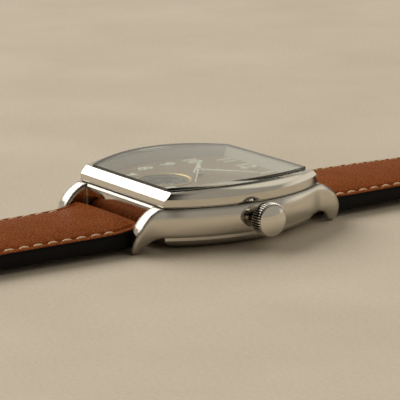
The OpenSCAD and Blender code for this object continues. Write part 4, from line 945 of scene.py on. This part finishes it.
@dataclass
class DialFace:
    """Dial, its gilt ring, applied numerals, printed minute track and hands. Sizes in millimetres.

    side_r is what the radius of the tonneau's sides has more than half its width, and reach lies outside
    it. The insets are the distances of the minute track and of the numerals from the flange.
    """

    top_z: float = 8.35
    half_w: float = 13.15
    half_len: float = 14.15
    side_r: float = 12.5
    track_inset: float = 0.75
    numeral_inset: float = 3.1
    numeral_h: float = 3.3
    numeral_rise: float = 0.16
    numeral_ease: float = 0.05
    numeral_bolder: float = 0.03
    reach: float = 40.0

    def outline(self, angle: float, inset: float) -> tuple[float, float]:
        """Find the point of a tonneau track at a clock angle.

        Args:
            angle: degrees clockwise from 12.
            inset: distance inside the flange.

        Returns:
            x and y in millimetres.
        """
        dx, dy = math.sin(math.radians(angle)), math.cos(math.radians(angle))
        low, high = 0.0, self.reach
        for _ in range(40):
            r = (low + high) / 2
            x, y = abs(dx * r), abs(dy * r)
            inside = (y <= self.half_len - inset
                      and math.hypot(x + self.side_r, y) <= self.half_w - inset + self.side_r)
            low, high = (r, high) if inside else (low, r)
        return dx * low, dy * low

    def mark(self, angle: float, width: float, length: float, rise: float = 0.03) -> Form:
        """Shape one printed mark, which points outward and has a ridged top.

        Args:
            angle: its clock angle.
            width: its width.
            length: its length.
            rise: how far it stands up.

        Returns:
            The form.
        """
        a = math.radians(angle)
        middle, out = Vector(self.outline(angle, self.track_inset)), Vector((math.sin(a), math.cos(a)))
        side = Vector((out.y, -out.x))
        rings = []
        for t, s in ((-0.5, 0.82), (-0.42, 1.0), (0.42, 1.0), (0.5, 0.82)):
            ring = []
            for v, z in ((-0.5, -0.02), (0.5, -0.02), (0.5, 0.55 * rise), (0.0, rise), (-0.5, 0.55 * rise)):
                p = middle + out * (t * length) + side * (v * width * s)
                ring.append((p.x, p.y, self.top_z + z))
            rings.append(ring)
        return loft(rings)

    def build_track(self) -> None:
        """Print 60 minute marks round the dial, heavier at each hour."""
        marks = [self.mark(minute * 6.0, *((0.1, 0.5) if minute % 5 else (0.22, 0.75)))
                 for minute in range(60)]
        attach(piece("minute_track", joined(marks), TRACK_INK, 20.0), "case")

    def build_numeral(self, hour: int) -> None:
        """Set one applied numeral upright on the dial.

        Args:
            hour: its number.
        """
        curve = bpy.data.curves.new(f"numeral_{hour}", "FONT")
        curve.body = str(hour)
        curve.size = self.numeral_h * MM * 1.25
        curve.extrude = self.numeral_rise * MM / 2
        curve.bevel_depth = self.numeral_ease * MM
        curve.bevel_resolution = 2
        curve.offset = self.numeral_bolder * MM
        curve.align_x = curve.align_y = "CENTER"
        raw = into_scene("numeral_curve", curve)
        mesh = evaluated_mesh(raw)
        bpy.data.objects.remove(raw)
        x, y = self.outline(hour * 30.0, self.numeral_inset)
        low, high = ([end(way) for way in zip(*(v.co for v in mesh.vertices))] for end in (min, max))
        mesh.transform(Matrix.Translation((x * MM - (low[0] + high[0]) / 2, y * MM - (low[1] + high[1]) / 2,
                                           self.top_z * MM - low[2] - 1e-5)))
        mesh.materials.clear()
        mesh.materials.append(FROSTED_SILVER.material())
        obj = into_scene(f"applied_numeral_{hour}", mesh)
        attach(obj, "case")
        LOG.info("made %s", obj.name)

    def build(self) -> None:
        """Dress the dial's nodes and build its own pieces."""
        dress(DIAL_LACQUER, "dial")
        dress(GILT_POLISH, "open_heart_ring")
        dress(FROSTED_SILVER, "hour_hand", "minute_hand", "seconds_hand")
        self.build_track()
        for hour in (12, 1, 2, 3, 4, 5, 7, 8, 9, 10, 11):
            self.build_numeral(hour)


@dataclass
class Movement:
    """The automatic movement: plates, train, balance and rotor, with a drawn hairspring ribbon."""

    spring_r: float = 0.43
    spring_pitch: float = 0.56
    spring_turns: float = 4.5
    spring_wire: float = 0.12
    spring_z: float = 4.42
    spring_steps: int = 96
    balance_y: float = -7.7

    def build_hairspring(self) -> None:
        """Draw the spiral as a thin ribbon standing on edge, its corners eased."""
        rings = []
        half_t, half_h = self.spring_wire * 0.36, self.spring_wire * 0.5
        for i in range(int(self.spring_turns * self.spring_steps) + 1):
            turn = i / self.spring_steps
            a = turn * 2 * math.pi
            r = self.spring_r + self.spring_pitch * turn
            ring = []
            for u, v in ((-1, -0.7), (-0.7, -1), (0.7, -1), (1, -0.7),
                         (1, 0.7), (0.7, 1), (-0.7, 1), (-1, 0.7)):
                q = r + u * half_t
                ring.append((q * math.cos(a), self.balance_y + q * math.sin(a), self.spring_z + v * half_h))
            rings.append(ring)
        spring = piece("hairspring_ribbon", loft(rings), BLUED_STEEL, 60.0)
        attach(spring, "balance")
        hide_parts("hairspring")

    def build(self) -> None:
        """Dress the movement's nodes and draw the hairspring."""
        dress(SPOTTED_RHODIUM, "main_plate")
        dress(STRIPED_RHODIUM, "barrel_bridge", "train_bridge", "rotor")
        dress(SATIN_RHODIUM, "movement_ring", "balance_cock", "pallet_bridge", "dial_side_bridge")
        dress(BLUED_STEEL, "bridge_screws")
        dress(RUBY, "movement_jewels", "pallet_stones")
        dress(GILT_BRASS, "barrel", "second_wheel", "third_wheel", "fourth_wheel", "hour_wheel")
        dress(GILT_POLISH, "balance_wheel")
        dress(HARD_STEEL, "escape_wheel", "pallet_fork", "balance_staff", "hairspring_stud",
              "cannon_pinion", "rotor_bearing")
        dress(TUNGSTEN, "rotor_weight")
        self.build_hairspring()


class End(Enum):
    """How a strap half ends."""

    BUCKLE = "folded round the buckle bar"
    TIP = "pointed, with holes"


@dataclass
class StrapHalf:
    """One half of the padded strap, in millimetres.

    Its own places are x across the strap from its middle, u along it from its spring bar, and z above the
    table. Half widths and distances from the edge are measured across. skive is how much thinner the
    leather gets towards its edge, groove the depth that the seam pulls in, crease the depth of the fold
    behind the nose and dent that of the soft unevenness on the padding. last_stitch and cross_seam count
    back from the buckle bar, and cross_w is half the length of the seam across.
    """

    name: str
    body: str
    side: int
    length: float
    end: End
    seed: int
    bar_y: float = 20.2
    bar_z: float = 3.0
    bar_bore: float = 0.83
    near_w: float = 10.8
    far_w: float = 9.0
    fold_r: float = 1.95
    fold_crown: float = 0.25
    near_bottom: float = 1.05
    edge_t: float = 0.6
    lining_near: float = 2.5
    lining_far: float = 1.5
    pad_near: float = 0.9
    pad_far: float = 0.25
    inset: float = 1.4
    seam: float = 1.25
    tip_len: float = 12.0
    hole_r: float = 0.95
    hole_pitch: float = 6.5
    hole_start: float = 25.0
    holes: int = 7
    buckle_z: float = 2.55
    buckle_fold: float = 1.3
    buckle_bore: float = 0.78
    slot_w: float = 1.3
    edge_ease: float = 0.32
    skive: float = 0.12
    groove: float = 0.2
    groove_w: float = 0.3
    crease: float = 0.06
    crease_u: float = 5.2
    dent: float = 0.035
    stitch_pitch: float = 2.82
    stitch_len: float = 1.9
    stitch_r: float = 0.27
    first_stitch: float = 4.1
    last_stitch: float = 8.5
    cross_seam: float = 11.5
    cross_w: float = 6.9
    first_ring: float = 1.04
    ring_step: float = 0.6
    # Distances from the edge at which the upper has its points
    EDGE_STEPS: ClassVar[tuple[float, ...]] = (
        0.0, 0.06, 0.16, 0.3, 0.5, 0.75, 0.95, 1.1, 1.25, 1.4, 1.55, 1.75, 2.0, 2.35, 2.8, 3.4)

    def place(self, x: float, u: float, z: float) -> Point:
        """Put a point of the strap into the watch's frame."""
        return self.side * x, self.side * (self.bar_y + u), z

    def straight_w(self, u: float) -> float:
        """Return the half width at u, without the rounding of the tip."""
        return mix(self.near_w, self.far_w, min(max(u, 0.0) / self.length, 1.0))

    def into_tip(self, u: float) -> float:
        """Return how far u lies into the rounding of the tip, from 0 to 1."""
        return max(u - self.length + self.tip_len, 0.0) / self.tip_len if self.end is End.TIP else 0.0

    def half_w(self, u: float) -> float:
        """Return the half width at u."""
        return self.straight_w(u) * math.sqrt(max(1 - self.into_tip(u) ** 2, 0.0002))

    def bottom(self, u: float) -> float:
        """Return the height of the strap's underside at u."""
        low, start, run = (1.25, 0, 32) if self.end is End.BUCKLE else (0.0, 32, 28)
        return mix(self.near_bottom, low, smooth_step((u - start) / run))

    def lining_top(self, u: float) -> float:
        """Return the height of the lining's upper face at u."""
        return self.bottom(u) + mix(self.lining_near, self.lining_far, smooth_step(u / self.length))

    def edge_z(self, u: float) -> float:
        """Find the height of the leather's top at its edges.

        Args:
            u: place along the strap.

        Returns:
            The height.
        """
        z = mix(self.bar_z + self.fold_r - 0.3, self.lining_top(u) + self.edge_t, smooth_step(u / 5))
        if self.end is End.BUCKLE:
            z = mix(z, self.buckle_z + self.buckle_fold, smooth_step((u - self.length + 5) / 4))
        return z

    def from_edge(self, x: float, u: float) -> float:
        """Find how far inside the outline a point lies.

        Args:
            x: place across the strap.
            u: place along the strap.

        Returns:
            The distance.
        """
        w, su = self.straight_w(u), self.into_tip(u)
        if su == 0:
            return w - abs(x)
        e = math.hypot(x / w, su)
        return (1 - e) * max(e, 1e-6) / math.hypot(x / w ** 2, su / self.tip_len)

    def top_z(self, x: float, u: float) -> float:
        """Find the height of the leather: eased edge, sewn groove, padding and soft creases.

        Args:
            x: place across the strap.
            u: place along the strap.

        Returns:
            The height.
        """
        w = self.straight_w(u)
        d = max(self.from_edge(x, u), 0.0)
        z = self.edge_z(u) - edge_drop(d, self.edge_ease)
        z -= self.skive * (1 - smooth_step(d / 1.15)) * smooth_step((u - 3) / 6)
        z -= self.groove * math.exp(-((d - self.seam - 0.12) / self.groove_w) ** 2)
        t = min(max(1 - (d - self.inset) / (w - self.inset), 0.0), 1.0)
        pad = mix(self.pad_near, self.pad_far, smooth_step(u / self.length))
        if self.end is End.BUCKLE:
            pad *= 1 - 0.5 * smooth_step((u - self.length + 8) / 6)
        steep = mix(2.0, 3.6, smooth_step(0.5 + self.side * x / w))
        z += pad * (1 - t ** steep) ** 0.9
        z -= self.crease * math.exp(-((u - self.crease_u - 0.01 * x * x) / 0.55) ** 2) * (1 - t * t)
        return z + self.dent * math.sin(u * 0.9 + self.seed) * math.sin(u * 0.37 + x * 0.35) * (1 - t)

    def columns(self, w: float) -> list[float]:
        """Place the points across the strap, from edge to edge.

        Args:
            w: the half width.

        Returns:
            Their places.
        """
        half = [w - d * min(1.0, w / 6) for d in self.EDGE_STEPS]
        half += [half[-1] * (1 - i / 9) for i in range(1, 10)]
        return [-x for x in half] + half[-2::-1]

    def fold_ring(self, angle: float, u0: float, z0: float, r: float, crown: float, w: float) -> list[Point]:
        """Draw one ring of the leather where it folds round a bar.

        Args:
            angle: degrees round the bar, with 90 at the top.
            u0: the bar's place along the strap.
            z0: the bar's height.
            r: radius of the fold at its edges.
            crown: what the middle has more.
            w: the half width.

        Returns:
            The ring.
        """
        cos, sin = math.cos(math.radians(angle)), math.sin(math.radians(angle))
        ring = []
        for x in self.columns(w):
            q = r + crown * (1 - (x / w) ** 2) - edge_drop(w - abs(x), 0.3) * sin
            ring.append(self.place(x, u0 + q * cos, z0 + q * sin))
        under = [(w, 0.25), (w - 0.1, 0.08), (w - 0.35, 0.0)]
        for x, lift in under + [(-x, lift) for x, lift in under[::-1]]:
            ring.append(self.place(x, u0 + r * cos, z0 - r * sin + lift * max(sin, 0.0)))
        return ring

    def leather_ring(self, u: float, low: float, blend: float = 1.0) -> list[Point]:
        """Draw one ring of the leather along the strap.

        Args:
            u: its place along the strap.
            low: height of its underside.
            blend: 0 keeps the rounding of the folded nose, 1 has the padded form.

        Returns:
            The ring.
        """
        w = self.half_w(u)
        ring = []
        for x in self.columns(w):
            q = self.fold_r + self.fold_crown * (1 - (x / w) ** 2)
            nose = self.bar_z + math.sqrt(max(q * q - u * u * 0.3, 0.0))
            ring.append(self.place(x, u, mix(nose, self.top_z(x, u), blend)))
        under = [(w, 0.2), (w - 0.02, 0.08), (w - 0.1, 0.0)]
        for x, lift in under + [(-x, lift) for x, lift in under[::-1]]:
            ring.append(self.place(x, u, low + lift))
        return ring

    def stations(self) -> list[float]:
        """Place the rings along the strap.

        Returns:
            Their places.
        """
        first, last = self.first_ring, self.length - (1.0 if self.end is End.BUCKLE else self.tip_len)
        count = int(last / self.ring_step)
        found = [first + (last - first) * i / count for i in range(count + 1)]
        if self.end is End.TIP:
            found += [last + self.tip_len * math.sin(math.radians(i * 89.2 / 22)) for i in range(1, 23)]
        return found

    def on_edge(self, face: bpy.types.MeshPolygon) -> bool:
        """Tell whether a face of the upper lies on its cut edge.

        Args:
            face: the face.

        Returns:
            Whether it does.
        """
        x, u, z = (self.side * face.center.x / MM, self.side * face.center.y / MM - self.bar_y,
                   face.center.z / MM)
        d = self.half_w(u) - abs(x)
        return (d < 0.05 or (d < 0.3 and z < self.edge_z(u) - 0.4)
                or (u > self.length - 1 and abs(x) > self.far_w - 0.05))

    def build_leather(self) -> None:
        """Build the upper: folded nose, padded run and its far end, with its bores and holes."""
        rings = [self.fold_ring(a, 0.0, self.bar_z, self.fold_r, self.fold_crown, self.near_w)
                 for a in (*range(177, 99, -7), 94)]
        rings += [self.leather_ring(u, self.near_bottom, smooth_step(u / 1.2) ** 0.8)
                  for u in (0.02, 0.2, 0.4, 0.6, 0.8, 1.0)]
        rings += [self.leather_ring(u, self.lining_top(u), 1.0 if u > 1.2 else 0.98)
                  for u in self.stations()]
        if self.end is End.BUCKLE:
            rings += [self.fold_ring(a, self.length, self.buckle_z, self.buckle_fold, 0.08, self.far_w)
                      for a in (*range(88, 17, -10), 10, 4)]
        strap = piece(f"{self.name}_upper", loft(rings), TAN_CALF, 55.0)
        paint_edges(strap, self.on_edge)
        self.pierce(strap, bars=True)
        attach(strap, self.body)
        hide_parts(self.name)

    def hole_places(self) -> list[float]:
        """Return where along the strap the holes stand."""
        return [self.length - self.hole_start - i * self.hole_pitch for i in range(self.holes)]

    def pierce(self, strap: bpy.types.Object, bars: bool) -> None:
        """Cut the holes, or the slot for the tang, and the bores for the bars.

        Args:
            strap: the upper or the lining.
            bars: whether the bars run through it.
        """
        if bars:
            cut(strap, rod("x", self.place(0, 0, self.bar_z), self.bar_bore, 30.0))
        if self.end is End.TIP:
            for u in self.hole_places():
                cut(strap, rod("z", self.place(0, u, 2.0), self.hole_r, 12.0, 40))
            return
        if bars:
            cut(strap, rod("x", self.place(0, self.length, self.buckle_z), self.buckle_bore, 30.0))
        w = self.slot_w
        corners = ((-w, -4), (w, -4), (w, 12), (-w, 12))
        cut(strap, loft([[self.place(x, self.length + u, z) for x, z in corners] for u in (-6.0, 3.0)]))

    def build_lining(self) -> None:
        """Build the filler and lining with rounded, burnished edges."""
        rings = []
        for u in self.stations():
            w, low, high = self.half_w(u), self.bottom(u), self.lining_top(u) - 0.02
            mid, s = (low + high) / 2, min(1.0, w / 3)
            half = [(w - 0.06 * s, high), (w, mix(mid, high, 0.5)), (w, mid),
                    (w - 0.04 * s, mix(mid, low, 0.6)), (w - 0.16 * s, low + 0.1),
                    (w - 0.4 * s, low + 0.015), (w - 0.8 * s, low), (w * 0.5, low), (0.0, low)]
            rings.append([self.place(x, u, z) for x, z in half + [(-x, z) for x, z in half[-2::-1]]])
        lining = piece(f"{self.name}_backing", loft(rings), BLACK_CALF, 50.0)
        paint_edges(lining, lambda face: abs(face.normal.x) > 0.7)
        self.pierce(lining, bars=False)
        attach(lining, self.body)
        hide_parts(f"{self.name}_lining")

    def seam_paths(self) -> list[list[tuple[float, float]]]:
        """Draw the sewn lines.

        Returns:
            Each line as x and u points.
        """
        back, steps = (self.last_stitch, 60) if self.end is End.BUCKLE else (self.tip_len, 80)
        last = self.length - back
        line = [(self.half_w(u) - self.seam, u)
                for u in (mix(self.first_stitch, last, i / steps) for i in range(steps + 1))]
        if self.end is End.BUCKLE:
            cross = [(mix(-self.cross_w, self.cross_w, i / 20), self.length - self.cross_seam)
                     for i in range(21)]
            return [line, [(-x, u) for x, u in line], cross]
        w = self.straight_w(last) - self.seam
        line += [(w * math.cos(a), last + (self.tip_len - self.seam) * math.sin(a))
                 for a in turns(120)[1:31]]
        return [line + [(-x, u) for x, u in line[-2::-1]]]

    def stitch(self, x: float, u: float, way: tuple[float, float], slant: float,
               height: Callable[[float, float], float], lift: float) -> Form:
        """Shape one stitch: a thread that rises out of its hole, lies over the leather and dives back.

        Args:
            x: its middle across the strap.
            u: its middle along the strap.
            way: direction of the seam.
            slant: degrees that the stitch is turned from it.
            height: the height of the leather at any x and u.
            lift: how far it stands up, 1 for a plain stitch and negative underneath.

        Returns:
            The form.
        """
        cos, sin = math.cos(math.radians(slant)), math.sin(math.radians(slant))
        ax, au = way[0] * cos - way[1] * sin, way[0] * sin + way[1] * cos
        spine = []
        for i in range(13):
            t = -1 + i / 6
            px, pu = x + ax * t * self.stitch_len / 2, u + au * t * self.stitch_len / 2
            arch = math.sqrt(max(1 - t * t, 0.0))
            spine.append(Vector((px, pu, height(px, pu) + lift * (arch * 0.26 - 0.16))))
        across = Vector((-au, ax, 0.0)).normalized()
        rings = []
        for i, p in enumerate(spine):
            up = across.cross(spine[min(i + 1, 12)] - spine[max(i - 1, 0)]).normalized()
            if up.z < 0:
                up = -up
            r = self.stitch_r * (0.42 + 0.58 * math.sin(math.pi * (0.12 + 0.76 * i / 12)) ** 0.5)
            rings.append([self.place(*(p + across * (r * math.cos(a)) + up * (r * math.sin(a) * 0.9)))
                          for a in turns(10)])
        return loft(rings)

    def build_stitches(self) -> None:
        """Sew both edges, and the back of them on the lining."""
        chance = random.Random(self.seed)
        upper, under = [], []
        for path in self.seam_paths():
            lengths = [0.0]
            for a, b in zip(path, path[1:]):
                lengths.append(lengths[-1] + math.dist(a, b))
            count = int(lengths[-1] / self.stitch_pitch)
            k = 0
            for i in range(count):
                at = (i + 0.5) * lengths[-1] / count + chance.uniform(-0.06, 0.06)
                while lengths[k + 1] < at:
                    k += 1
                size = lengths[k + 1] - lengths[k]
                (x0, u0), (x1, u1) = path[k], path[k + 1]
                x, u = (mix(*ends, (at - lengths[k]) / size) for ends in ((x0, x1), (u0, u1)))
                if abs(x) < self.slot_w + 0.3 + self.stitch_len / 2 and self.end is End.BUCKLE:
                    continue
                way = (x1 - x0) / size, (u1 - u0) / size
                slant = (9.0 if x * way[1] > 0 else -9.0) + chance.uniform(-3, 3)
                upper.append(self.stitch(x, u, way, slant, self.top_z, 1.0))
                under.append(self.stitch(x, u, way, -slant, lambda px, pu: self.bottom(pu) + 0.29, -0.75))
        for label, forms in (("stitches", upper), ("back_stitches", under)):
            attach(piece(f"{self.name}_{label}", joined(forms), LINEN, 60.0), self.body)

    def build_hole_rims(self) -> None:
        """Press a darkened rim round each hole."""
        forms = []
        for u0 in self.hole_places():
            rings = []
            for a in turns(40):
                ring = []
                for b in turns(8):
                    r = self.hole_r + 0.1 + 0.1 * math.cos(b)
                    x, u = r * math.cos(a), u0 + r * math.sin(a)
                    ring.append(self.place(x, u, self.top_z(x, u) - 0.02 + 0.05 * math.sin(b)))
                rings.append(ring)
            forms.append(loft(rings, closed=True))
        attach(piece(f"{self.name}_hole_rims", joined(forms), EDGE_PAINT, 60.0), self.body)

    def build(self) -> None:
        """Build the half with all its pieces."""
        self.build_leather()
        self.build_lining()
        self.build_stitches()
        if self.end is End.TIP:
            self.build_hole_rims()


@dataclass
class Keeper:
    """A leather loop round the strap, with creased edges. In millimetres."""

    name: str
    body: str
    u: float
    inner_half_w: float
    inner_low: float
    inner_high: float = 6.05
    wall: float = 1.0
    width: float = 5.0
    corner: float = 1.2
    bar_y: float = 20.2

    def contour(self, half_w: float, low: float, high: float, r: float, count: int = 12
                ) -> list[tuple[float, float]]:
        """Draw a rounded rectangle.

        Args:
            half_w: half its width.
            low: its lower side.
            high: its upper side.
            r: radius of its corners.
            count: number of points on each corner and on each side.

        Returns:
            Its x and z points.
        """
        arcs = []
        for sx, cz, start in ((1, high - r, 0), (-1, high - r, 90), (-1, low + r, 180), (1, low + r, 270)):
            angles = [math.radians(start + 90 * i / (count - 1)) for i in range(count)]
            arcs.append([(sx * (half_w - r) + r * math.cos(a), cz + r * math.sin(a)) for a in angles])
        found = []
        for arc, after in zip(arcs, arcs[1:] + arcs[:1]):
            found += arc
            for t in (i / (count + 1) for i in range(1, count + 1)):
                found.append((mix(arc[-1][0], after[0][0], t), mix(arc[-1][1], after[0][1], t)))
        return found

    def build(self) -> None:
        """Sweep the loop's section round both contours."""
        outer = self.contour(self.inner_half_w + self.wall, 0.0, self.inner_high + self.wall, self.corner)
        inner = self.contour(self.inner_half_w, self.inner_low, self.inner_high, self.corner / 3)
        # How far out towards the outer contour each point lies, and how far in from the loop's edge
        half = [(0.0, 0.1), (0.12, 0.0), (0.75, 0.0), (0.93, 0.08), (1.0, 0.3), (0.985, 0.62), (0.955, 0.74),
                (0.985, 0.86), (1.0, 1.2), (1.0, self.width / 2)]
        half = [(a, b - self.width / 2) for a, b in half]
        section = half + [(a, -b) for a, b in half[-2::-1]]
        rings = [[(mix(ix, ox, a), self.bar_y + self.u + b, mix(iz, oz, a)) for a, b in section]
                 for (ox, oz), (ix, iz) in zip(outer, inner)]
        loop = piece(f"{self.name}_loop", loft(rings, closed=True), TAN_CALF, 50.0)
        paint_edges(loop, lambda face: abs(face.normal.y) > 0.75)
        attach(loop, self.body)
        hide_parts(self.name)


@dataclass
class Buckle:
    """Polished pin buckle with its bar and tang, carried over from the frame."""

    round_angle: float = 25.0

    def build(self) -> None:
        """Dress the buckle's nodes."""
        dress(POLISHED_STEEL, "buckle_frame", "buckle_tang", smooth=self.round_angle)
        dress(HARD_STEEL, "buckle_bar")


def main() -> None:
    """Build the scene in order."""
    logging.basicConfig(level=logging.INFO, format="%(name)s %(message)s")
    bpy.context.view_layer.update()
    Studio().build()
    WatchCase().build()
    DialFace().build()
    Movement().build()
    StrapHalf("strap_12", "strap_buckle_half", 1, 75.0, End.BUCKLE, 3).build()
    StrapHalf("strap_6", "strap_hole_half", -1, 118.0, End.TIP, 7).build()
    Keeper("fixed_keeper", "strap_buckle_half", 66.0, 9.376, 1.25).build()
    Keeper("free_keeper", "keeper", 58.0, 9.9, 1.2).build()
    Buckle().build()


if __name__ == "__main__":
    main()
